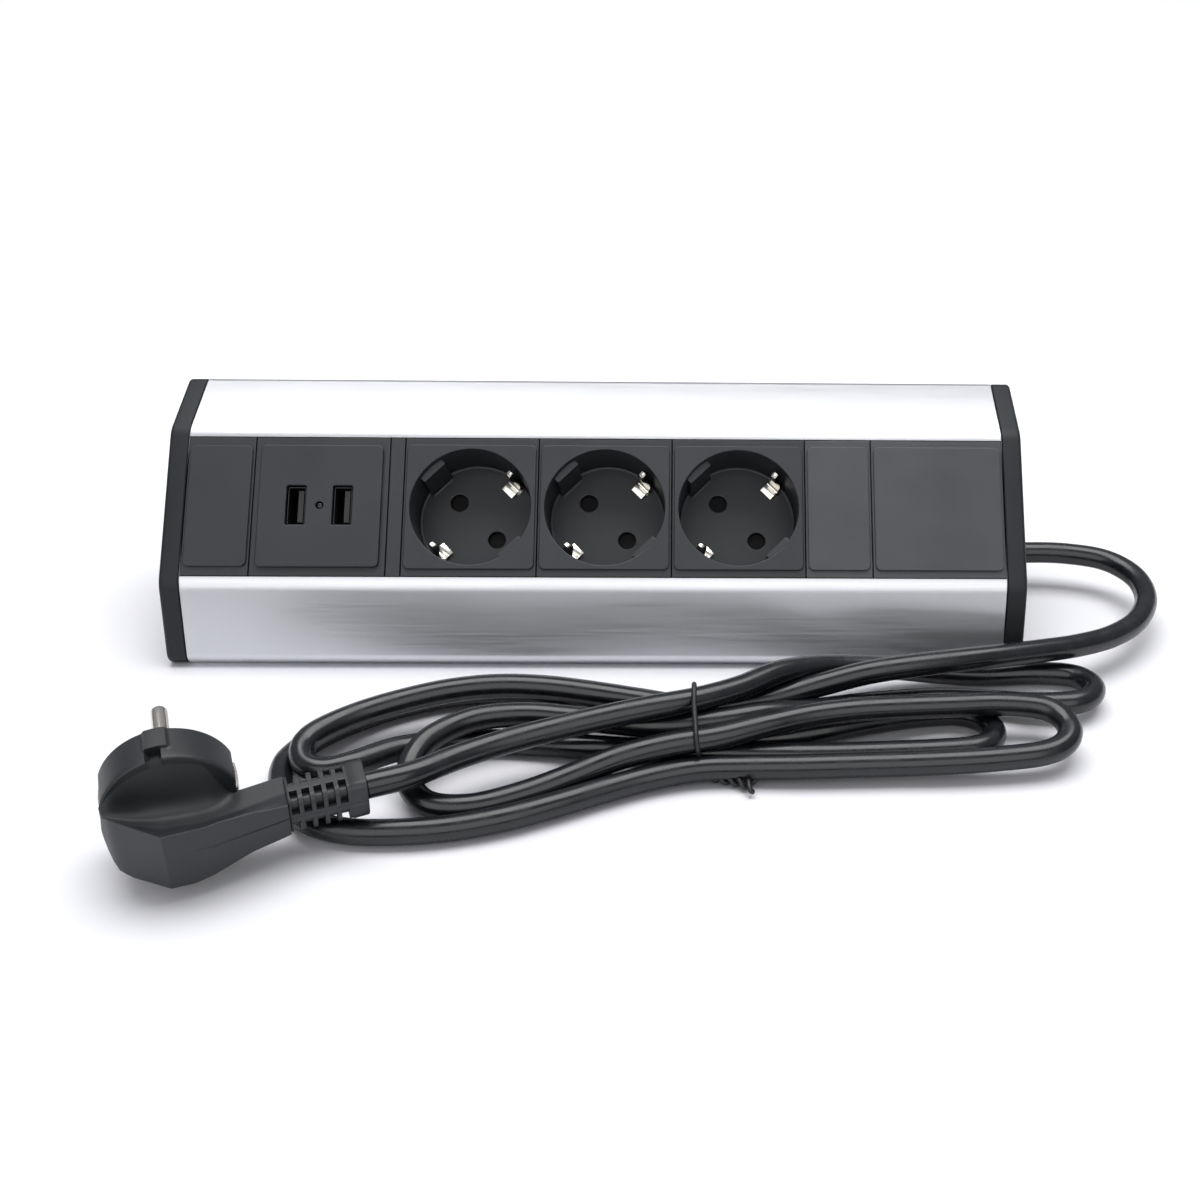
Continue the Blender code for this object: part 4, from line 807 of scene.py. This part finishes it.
def insetCorners(points, distance):
    # Every side of a polygon moved inwards, and neighbouring sides crossed again for the new corners
    ahead = np.roll(points, -1, axis=0) - points
    ahead /= np.linalg.norm(ahead, axis=1)[:, None]
    normal = np.column_stack([-ahead[:, 1], ahead[:, 0]])
    level_ = (normal * points).sum(1) + distance
    back = np.roll(normal, 1, axis=0)
    backLevel = np.roll(level_, 1)
    det = back[:, 0] * normal[:, 1] - back[:, 1] * normal[:, 0]
    x = (backLevel * normal[:, 1] - level_ * back[:, 1]) / det
    y = (back[:, 0] * level_ - normal[:, 0] * backLevel) / det
    return np.column_stack([x, y])


def makeProfile():
    # One closed outline of the wall, carried along the strip with a hair-fine chamfer at each sawn end
    opening = profile["opening"]
    lip = opening + profile["lipThick"]
    inner = insetCorners(corners, profile["wall"])
    c = [tuple(p) for p in corners]
    i = [tuple(p) for p in inner]
    outline = [bandPoint(-opening, 0), c[4], c[0], c[1], c[2], c[3], bandPoint(opening, 0)]
    radii = [0.25, 10, 4, 2, 3, 10, 0.25]
    outline += [bandPoint(opening, -5), bandPoint(lip, -5), bandPoint(lip, -1.8), i[3], i[2], i[1], i[0], i[4]]
    radii += [0.2, 0.2, 0.2, 1, 1.2, 0.4, 2.2, 1]
    outline += [bandPoint(-lip, -1.8), bandPoint(-lip, -5), bandPoint(-opening, -5)]
    radii += [0.2, 0.2, 0.2]
    loop = roundedLoop(outline, radii, steps=10)
    ends = shellLow[0], shellHigh[0]
    stations = [ends[0], ends[0] + 0.15, *np.linspace(ends[0] + 5, ends[1] - 5, 12), ends[1] - 0.15, ends[1]]
    inset = [0.15] + [0.0] * (len(stations) - 2) + [0.15]
    shape = newShape()
    index = addGrid(shape, levels([insetLoop(loop, d) for d in inset], stations))
    closeEnds(shape, index)
    for place in portPlaces:
        # Screw ports: rings in the corners of the section, along its whole length
        rings = [circleLoop(r, 40, place) for r in (profile["portHole"], profile["portRadius"])]
        grid = [level(rings[0], ends[0]), level(rings[1], ends[0]), level(rings[1], ends[1]), level(rings[0], ends[1])]
        addGrid(shape, np.stack(grid), closeAlong=True)
    return finishShape(
        shape,
        "aluminium_profile",
        acrossFrame,
        "anodised_aluminium",
        smooth=30.0,
        replaces=("profile_shell",),
    )


makeProfile()

cap = {"edge": 1.5, "rimDepth": 4.0, "rimWall": 2.2, "gap": 0.3, "recess": 2.4, "headRoom": 3.3}


def makeCap(side):
    # Section outline as rows along X with a quarter round at both faces; the outer face keeps two screw wells
    name = "end_cap_right" if side > 0 else "end_cap_left"
    reachX = 144.5
    outer = side * reachX
    inner = side * (shellHigh[0] + cap["gap"])
    steps = 6
    turn = np.linspace(0, math.pi / 2, steps + 1)
    rows = [insetLoop(sectionLoop, 0.3)]
    heights = [inner]
    rows.append(sectionLoop)
    heights.append(inner + side * 0.3)
    for t in turn:
        rows.append(insetLoop(sectionLoop, cap["edge"] * (1 - math.cos(t))))
        heights.append(outer - side * cap["edge"] * (1 - math.sin(t)))
    shape = newShape()
    index = addGrid(shape, levels(rows, heights))
    wells = []
    for place in portPlaces:
        radii = (cap["headRoom"] + 0.25, cap["headRoom"], cap["headRoom"], profile["portHole"] + 0.2)
        depths = (0, 0.25, cap["recess"], cap["recess"])
        ring = levels([circleLoop(r, 40, place) for r in radii], [outer - side * d for d in depths])
        deep = level(circleLoop(profile["portHole"] + 0.2, 40, place), inner)
        wells.append(addGrid(shape, np.concatenate([ring, deep[None]])))
    holesOut = [w[0] for w in wells]
    holesIn = [w[-1] for w in wells]
    if side > 0:
        gland = levels([circleLoop(6.3, 48, glandPlace)] * 2, [outer, inner])
        bore = addGrid(shape, gland)
        holesOut.append(bore[0])
        holesIn.append(bore[-1])
    addFlat(shape, [index[-1], *holesOut])
    addFlat(shape, [index[0], *holesIn])
    return finishShape(shape, name + "_moulding", acrossFrame, "black_abs", smooth=35.0)


glandLow, glandHigh = boxMm("cord_gland")
glandPlace = (float(glandLow[1] + glandHigh[1]) / 2, float(glandLow[2] + glandHigh[2]) / 2)


def capPieces():
    # Only the slab that shows: the rim and the clamp shelf inside the profile are left out
    for side, node_ in ((-1, "end_cap_left"), (1, "end_cap_right")):
        piece = makeCap(side)
        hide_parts(node_)


capPieces()


def makeGland():
    # A turned sleeve: radius against X, a flange behind the cap's hole and a ringed taper outside
    along = [131.5, 131.7, 135.3, 135.5, 144.7, 144.8, 145.2, 146.3, 146.6]
    radius = [7.6, 7.8, 7.8, 6.0, 6.0, 7.3, 7.5, 7.3, 6.0]
    for k in range(3):
        x = 147.0 + 2.0 * k
        r = 5.7 - 0.4 * k
        along += [x, x + 0.25, x + 1.1, x + 1.35]
        radius += [r - 0.5, r, r - 0.1, r - 0.6]
    along += [152.6, 152.9]
    radius += [4.5, 4.2]
    rings = np.array(radius)
    turn = np.arange(64) / 64 * math.tau
    grid = np.stack(
        [
            glandPlace[0] + rings[:, None] * np.cos(turn),
            glandPlace[1] + rings[:, None] * np.sin(turn),
            np.broadcast_to(np.array(along)[:, None], (len(along), 64)),
        ],
        -1,
    )
    bore = levels([circleLoop(4.0, 64, glandPlace)] * 2, [152.9, 131.5])
    shape = newShape()
    addGrid(shape, np.concatenate([grid, bore]), closeAlong=True)
    finishShape(
        shape, "strain_relief", acrossFrame, "black_tpe", smooth=40.0, replaces=("cord_gland",)
    )


makeGland()
print("stage 4: profile, caps and strain relief made")

module = {"halfV": 24.1, "inner": 22.3, "plate": 2.2, "hookReach": 25.6, "hookTop": 5.3, "hookLow": 7.0}
plate = {"proud": 0.8, "halfV": 21.7, "corner": 2.0, "edge": 0.35, "margin": 0.7}


def hookLoops():
    # The two snap legs, each a small outline in (up the band, out of it)
    v, i, r = module["halfV"], module["inner"], module["hookReach"]
    leg = np.array([(i, -1.0), (v, -1.0), (v, -module["hookTop"]), (r, -module["hookTop"]), (v, -7.0), (i, -7.0)])
    return leg, leg[::-1] * (-1, 1)


def addLegs(shape, half):
    for leg in hookLoops():
        rows = levels([leg, leg], [-half, half])[:, :, [2, 0, 1]]
        index = addGrid(shape, rows)
        closeEnds(shape, index)


def spanOf(node_):
    low, high = boxMm(node_)
    return float(low[0] + high[0]) / 2, float(high[0] - low[0]) / 2


def makeBlank(node_, halfV=None, raised=True):
    # A base slab as wide as the module, with a raised plate of rounded corners on it
    middle, half = spanOf(node_)
    shape = newShape()
    addSlab(shape, boxLoop(half, module["halfV"], 0.25, steps=3), -module["plate"], 0.0, 0.2)
    if raised:
        loop = boxLoop(half - plate["margin"], halfV or plate["halfV"], plate["corner"], steps=10)
        addSlab(shape, loop, -0.5, plate["proud"], plate["edge"])
    addLegs(shape, half)
    # blank_half and blank_full take blank_plate, a lighter copy of the polycarbonate: painted light, not a different
    # plastic
    finishShape(
        shape,
        node_ + "_moulding",
        bandFrame(middle),
        "black_polycarbonate",
        finish="blank_plate" if node_.startswith("blank") else None,
        replaces=(node_,),
    )


makeBlank("label_blank", 21.0)
makeBlank("filler_strip", raised=False)
makeBlank("blank_half")
makeBlank("blank_full")

socket = {
    "cupRadius": 20.15,
    "cupOuter": 21.4,
    "floorTop": -17.0,
    "floorLow": -19.0,
    "pinRing": 9.5,
    "pinHole": 3.0,
    "keyWidth": 9.5,
    "keyDepth": 2.3,
    "keyTop": -1.8,
    "rim": 0.4,
    "slotWidth": 6.0,
    "slotInner": 16.2,
}


def cupLoops():
    # The wall's outline with its two flat guide keys, and the plain circle that matches it point by point
    radius, deep, half = socket["cupRadius"], socket["cupRadius"] - socket["keyDepth"], socket["keyWidth"] / 2
    edge = math.asin(half / radius)
    keyed, plain = [], []
    for centre in (math.radians(135), math.radians(315)):
        flat = np.linspace(half - 0.3, -half + 0.3, 9)
        xs = [math.sqrt(radius**2 - half**2), deep + 0.3, *([deep] * 9), deep + 0.3, math.sqrt(radius**2 - half**2)]
        ts = np.array([half, half, *flat, -half, -half])
        xs = np.array(xs)
        c, s = math.cos(centre), math.sin(centre)
        keyed.append(np.column_stack([xs * c - ts * s, xs * s + ts * c])[::-1])
        angle = centre + np.linspace(edge, -edge, len(ts))
        plain.append(radius * np.column_stack([np.cos(angle), np.sin(angle)])[::-1])
        rest = np.linspace(centre + edge, centre + math.pi - edge, 66)[1:-1]
        arc = radius * np.column_stack([np.cos(rest), np.sin(rest)])
        keyed.append(arc)
        plain.append(arc)
    return np.vstack(keyed), np.vstack(plain)


def turned(loop, degrees):
    c, s = math.cos(math.radians(degrees)), math.sin(math.radians(degrees))
    return loop @ np.array([[c, s], [-s, c]])


def makeSocket(number):
    # One closed skin: module edge, step, raised plate, rounded rim, cup wall with keys, pierced floor and back
    node_ = f"socket_face_{number}"
    middle, half = spanOf(node_)
    shape = newShape()
    keyed, plain = cupLoops()
    base = boxLoop(half, module["halfV"], 0.25, steps=3)
    side = addGrid(shape, edgeRows(base, -module["plate"], 0.0, 0.2))
    raisedLoop = boxLoop(plate["halfV"], plate["halfV"], plate["corner"], steps=10)
    raised = addGrid(shape, edgeRows(raisedLoop, 0.0, plate["proud"], plate["edge"]))
    addFlat(shape, [side[-1], raised[0]])
    # Rim: a quarter round from the flat plate down into the cup
    turn = np.linspace(math.pi / 2, 0, 6)
    grow = [1 + socket["rim"] * (1 - math.cos(t)) / socket["cupRadius"] for t in turn]
    rims = [plain * g for g in grow]
    rimLevels = [plate["proud"] - socket["rim"] * (1 - math.sin(t)) for t in turn]
    top = socket["keyTop"]
    foot = 0.9
    rows = rims + [plain, keyed, keyed]
    heights = rimLevels + [top + 0.15, top - 0.15, socket["floorTop"] + foot]
    # Foot: a small inside radius where wall meets floor
    for t in np.linspace(0.25, 1, 4) * math.pi / 2:
        rows.append(keyed * (1 - foot * (1 - math.cos(t)) / socket["cupRadius"]))
        heights.append(socket["floorTop"] + foot * (1 - math.sin(t)))
    cup = addGrid(shape, levels(rows, heights))
    addFlat(shape, [raised[-1], cup[0]])
    holes = []
    low = socket["floorLow"]
    for angle in (135, 315):
        spot = (
            socket["pinRing"] * math.cos(math.radians(angle)),
            socket["pinRing"] * math.sin(math.radians(angle)),
        )
        radii = (socket["pinHole"] + 0.35, socket["pinHole"] + 0.1, socket["pinHole"], socket["pinHole"])
        depths = (0, -0.1, -0.4, low - socket["floorTop"])
        loops = [circleLoop(r, 36, spot) for r in radii]
        holes.append(addGrid(shape, levels(loops, [socket["floorTop"] + d for d in depths])))
    for angle in (45, 225):
        # Earth clip slot: a rounded opening near the wall
        slot = turned(boxLoop(1.45, socket["slotWidth"] / 2, 0.5, (17.6, 0.0), steps=3), angle)
        holes.append(addGrid(shape, levels([slot, slot], [socket["floorTop"], low])))
    addFlat(shape, [cup[-1], *[h[0] for h in holes]])
    backWall = [circleLoop(socket["cupOuter"], 96)] * 2
    back = addGrid(shape, levels(backWall, [low, -module["plate"]]))
    addFlat(shape, [back[0], *[h[-1] for h in holes]])
    addFlat(shape, [side[0], back[-1]])
    addLegs(shape, half)
    finishShape(
        shape,
        node_ + "_moulding",
        bandFrame(middle),
        "black_polycarbonate",
        smooth=32.0,
        replaces=(node_,),
    )
    return middle


clip = {"width": 5.0, "thick": 0.7, "bridge": (-24.3 - 0.8, -24.3)}


def makeClip(number, middle):
    # Side outline of the sprung strip carried across its width; its sides are rolled over by a small round
    arm = np.array([(14.0, -16.6), (15.6, -16.2), (17.2, -16.3), (18.3, -15.4), (18.9, -12.5), (18.6, -9.0)])
    arm = np.vstack([arm, [(17.4, -6.4), (16.9, -4.6), (17.2, -3.2), (18.6, -2.4)]])
    path = smoothRoute(np.column_stack([arm, np.zeros(len(arm))]), 6)[:, :2]
    along = np.gradient(path, axis=0)
    along /= np.linalg.norm(along, axis=1)[:, None]
    normal = np.column_stack([-along[:, 1], along[:, 0]])
    shape = newShape()
    half = clip["width"] / 2
    roll = np.array([(-1, 0.35), (-0.94, 0.05), (-0.8, 0.0), (0.8, 0.0), (0.94, 0.05), (1, 0.35)])
    ring = np.vstack([roll, [(0.97, 0.9), (0.85, 1.0), (-0.85, 1.0), (-0.97, 0.9)]])
    flat = path[:, None] + normal[:, None] * (ring[None, :, 1:] * clip["thick"])
    # The free end narrows to a small tip: half width against height in the cup
    narrow = np.interp(path[:, 1], (-12.0, -6.5, -2.4), (1.0, 0.62, 0.34))[:, None, None]
    narrow = np.where(np.arange(len(path))[:, None, None] > len(path) * 0.45, narrow, 1.0)
    grid = np.concatenate([flat[..., :1], ring[None, :, :1] * half * narrow, flat[..., 1:]], -1)
    for angle in (45, 225):
        c, s = math.cos(math.radians(angle)), math.sin(math.radians(angle))
        spun = grid @ np.array([[c, s, 0], [-s, c, 0], [0, 0, 1.0]])
        index = addGrid(shape, spun)
        closeEnds(shape, index)
    # The flat bridge under the floor that joins the two arms
    low, high = clip["bridge"]
    addSlab(shape, turned(boxLoop(19.6, half, 0.3, steps=3), 45), low, high, 0.1, 0.1)
    for angle in (45, 225):
        leg = turned(boxLoop(0.35, half, 0.1, (19.2, 0.0), steps=2), angle)
        addSlab(shape, leg, low, -18.9, 0.1, 0.1)
    finishShape(
        shape,
        f"earth_clip_{number}_spring",
        bandFrame(middle),
        "nickel_plated_brass",
        replaces=(f"earth_clip_{number}",),
    )


for number in (1, 2, 3):
    makeClip(number, makeSocket(number))
print("stage 5: blanks and sockets made")

usb = {
    "ports": (-7.9, 7.5),
    "shellW": 5.9,
    "shellH": 13.2,
    "wall": 0.35,
    "depth": 14.0,
    "window": 19.5,
    "faceU": 20.4,
    "faceV": 21.2,
}


def makeUsb():
    middle, half = spanOf("usb_frame")
    here = bandFrame(middle)
    shape = newShape()
    base = boxLoop(half, module["halfV"], 0.25, steps=3)
    side = addGrid(shape, edgeRows(base, -module["plate"], 0.0, 0.2))
    window = boxLoop(usb["window"], usb["window"], 0.6, steps=3)
    inside = addGrid(shape, levels([window, window], [0.0, -module["plate"]]))
    addFlat(shape, [side[-1], inside[0]])
    addFlat(shape, [side[0], inside[-1]])
    addLegs(shape, half)
    plastic = "black_polycarbonate"
    finishShape(shape, "usb_frame_moulding", here, plastic, replaces=("usb_frame",))
    # Face plate: rounded outline, two port mouths and the light's hole
    shape = newShape()
    loop = boxLoop(usb["faceU"], usb["faceV"], 1.8, steps=10)
    outer = addGrid(shape, edgeRows(loop, 0.3, plate["proud"] + 0.5, 0.4))
    holes = []
    face = plate["proud"] + 0.5
    for u in usb["ports"]:
        mouth = boxLoop(usb["shellW"] / 2 + 0.3, usb["shellH"] / 2 + 0.3, 0.6, (u, 0), steps=4)
        rows = [insetLoop(mouth, -0.3), insetLoop(mouth, -0.1), mouth, mouth]
        holes.append(addGrid(shape, levels(rows, [face, face - 0.1, face - 0.35, 0.3])))
    rows = [circleLoop(r, 32) for r in (1.5, 1.3, 1.3)]
    holes.append(addGrid(shape, levels(rows, [face, face - 0.2, 0.3])))
    addFlat(shape, [outer[-1], *[h[0] for h in holes]])
    addFlat(shape, [outer[0], *[h[-1] for h in holes]])
    finishShape(shape, "usb_face_moulding", here, plastic, replaces=("usb_face",))
    for number, u in enumerate(usb["ports"], 1):
        makePort(number, bandFrame(middle + u))
    # Light: a domed lens just below the face
    shape = newShape()
    radii = [0.9, 1.0, 1.0, 0.85, 0.6, 0.3]
    heights = [-3.4, -3.2, 0.55, 0.75, 0.86, 0.9]
    index = addGrid(shape, levels([circleLoop(r, 24) for r in radii], heights))
    closeEnds(shape, index)
    finishShape(shape, "usb_light_lens", here, "smoked_lens", replaces=("usb_led_lens",))


def makePort(number, here):
    # A folded metal can: outer wall, rolled mouth, inner wall and back; then the contact carrier in it
    halfW, halfH, wall = usb["shellW"] / 2, usb["shellH"] / 2, usb["wall"]
    outer = boxLoop(halfW, halfH, 0.5, steps=4)
    inner = insetLoop(outer, wall)
    rows = [outer, outer, insetLoop(outer, 0.1), insetLoop(outer, wall - 0.08), inner, inner]
    heights = [-usb["depth"], -0.1, 0.0, -0.02, -0.15, -usb["depth"] + 1.0]
    shape = newShape()
    index = addGrid(shape, levels(rows, heights))
    closeEnds(shape, index)
    # The shell keeps the nickel slot but shows the darkened copy: painted shade in the port mouths
    finishShape(shape, f"usb_shell_{number}_can", here, "nickel_plated_brass", "tinned_shell", replaces=(f"usb_shell_{number}",))
    shape = newShape()
    tongue = boxLoop(0.95, halfH - wall - 0.7, 0.15, (1.3, 0), steps=2)
    addSlab(shape, tongue, -usb["depth"] + 1.3, -0.5, 0.15)
    finishShape(shape, f"usb_tongue_{number}_carrier", here, "black_lcp", replaces=(f"usb_tongue_{number}",))
    shape = newShape()
    for v in (-3.5, -1.0, 1.0, 3.5):
        contact = boxLoop(0.12, 0.5, 0.05, (0.28, v), steps=2)
        addSlab(shape, contact, -9.0, -3.2, 0.05, 0.05)
    finishShape(shape, f"usb_contacts_{number}", here, "brass")


makeUsb()
print("stage 6: USB module made")

studio = {"floor": 8.0, "skyHigh": 0.38, "skyLow": 0.2, "glowNear": 0.1, "glowFar": 0.62}


def makeFloor():
    # White paper sweep with painted light: away from the object it glows, an emission that stands in for the bright
    # backdrop; it is zero close to the object so that shadows stay, and dimmer in front
    mesh = bpy.data.meshes.new("floor")
    half = studio["floor"]
    mesh.from_pydata([(-half, -half, 0), (half, -half, 0), (half, half, 0), (-half, half, 0)], [], [(0, 1, 2, 3)])
    item = bpy.data.objects.new("floor", mesh)
    bpy.context.scene.collection.objects.link(item)
    material, tree, shader = startMaterial("matt white paper sweep", Roughness=0.9)
    shader.inputs["Base Color"].default_value = srgb("F4F4F8")
    place = node(tree, "ShaderNodeTexCoord").outputs["Object"]
    away = node(tree, "ShaderNodeVectorMath", {0: place}, operation="LENGTH")
    near, far = studio["glowNear"], studio["glowFar"]
    round_ = node(tree, "ShaderNodeMapRange", {"Value": away.outputs["Value"]}, From_Min=near, From_Max=far, To_Max=0.5)
    depth = node(tree, "ShaderNodeSeparateXYZ", {"Vector": place}).outputs["Y"]
    back = node(tree, "ShaderNodeMapRange", {"Value": depth}, From_Min=-0.95, From_Max=-0.5, To_Min=0.45)
    glow = node(tree, "ShaderNodeMath", {0: round_.outputs["Result"], 1: back.outputs["Result"]}, operation="MULTIPLY")
    shader.inputs["Emission Color"].default_value = (1.0, 1.0, 1.0, 1.0)
    tree.links.new(glow.outputs["Value"], shader.inputs["Emission Strength"])
    mesh.materials.append(material)


def softBox(name, place, aim, size, power, onlyGloss=False):
    data = bpy.data.lights.new(name, "AREA")
    data.shape = "RECTANGLE"
    data.size, data.size_y = size
    data.energy = power
    item = bpy.data.objects.new(name, data)
    item.location = place
    item.visible_diffuse = not onlyGloss
    item.rotation_euler = (Vector(aim) - Vector(place)).to_track_quat("-Z", "Y").to_euler()
    bpy.context.scene.collection.objects.link(item)


def makeWorld():
    # Brightness by height of the sky: brighter overhead, greyer towards the horizon
    world = bpy.data.worlds.new("studio")
    world.use_nodes = True
    tree = world.node_tree
    way = node(tree, "ShaderNodeTexCoord").outputs["Generated"]
    height = node(tree, "ShaderNodeSeparateXYZ", {"Vector": way}).outputs["Z"]
    ramp = node(tree, "ShaderNodeMapRange", {"Value": height}, From_Min=0.05, From_Max=0.6)
    ramp.inputs["To Min"].default_value = studio["skyLow"]
    ramp.inputs["To Max"].default_value = studio["skyHigh"]
    back = tree.nodes["Background"]
    back.inputs["Color"].default_value = srgb("F8F9FF")
    tree.links.new(ramp.outputs["Result"], back.inputs["Strength"])
    bpy.context.scene.world = world


makeFloor()
makeWorld()
softBox("softbox above", (0.05, 0.25, 1.2), (0.02, -0.03, 0.0), (1.5, 0.8), 17.0)
softBox("softbox front", (-0.1, -1.15, 0.88), (-0.05, 0.0, 0.3), (2.2, 1.2), 12.5, onlyGloss=True)
bpy.context.scene.view_settings.view_transform = "Standard"
print("stage 7: floor, lights and sky set")

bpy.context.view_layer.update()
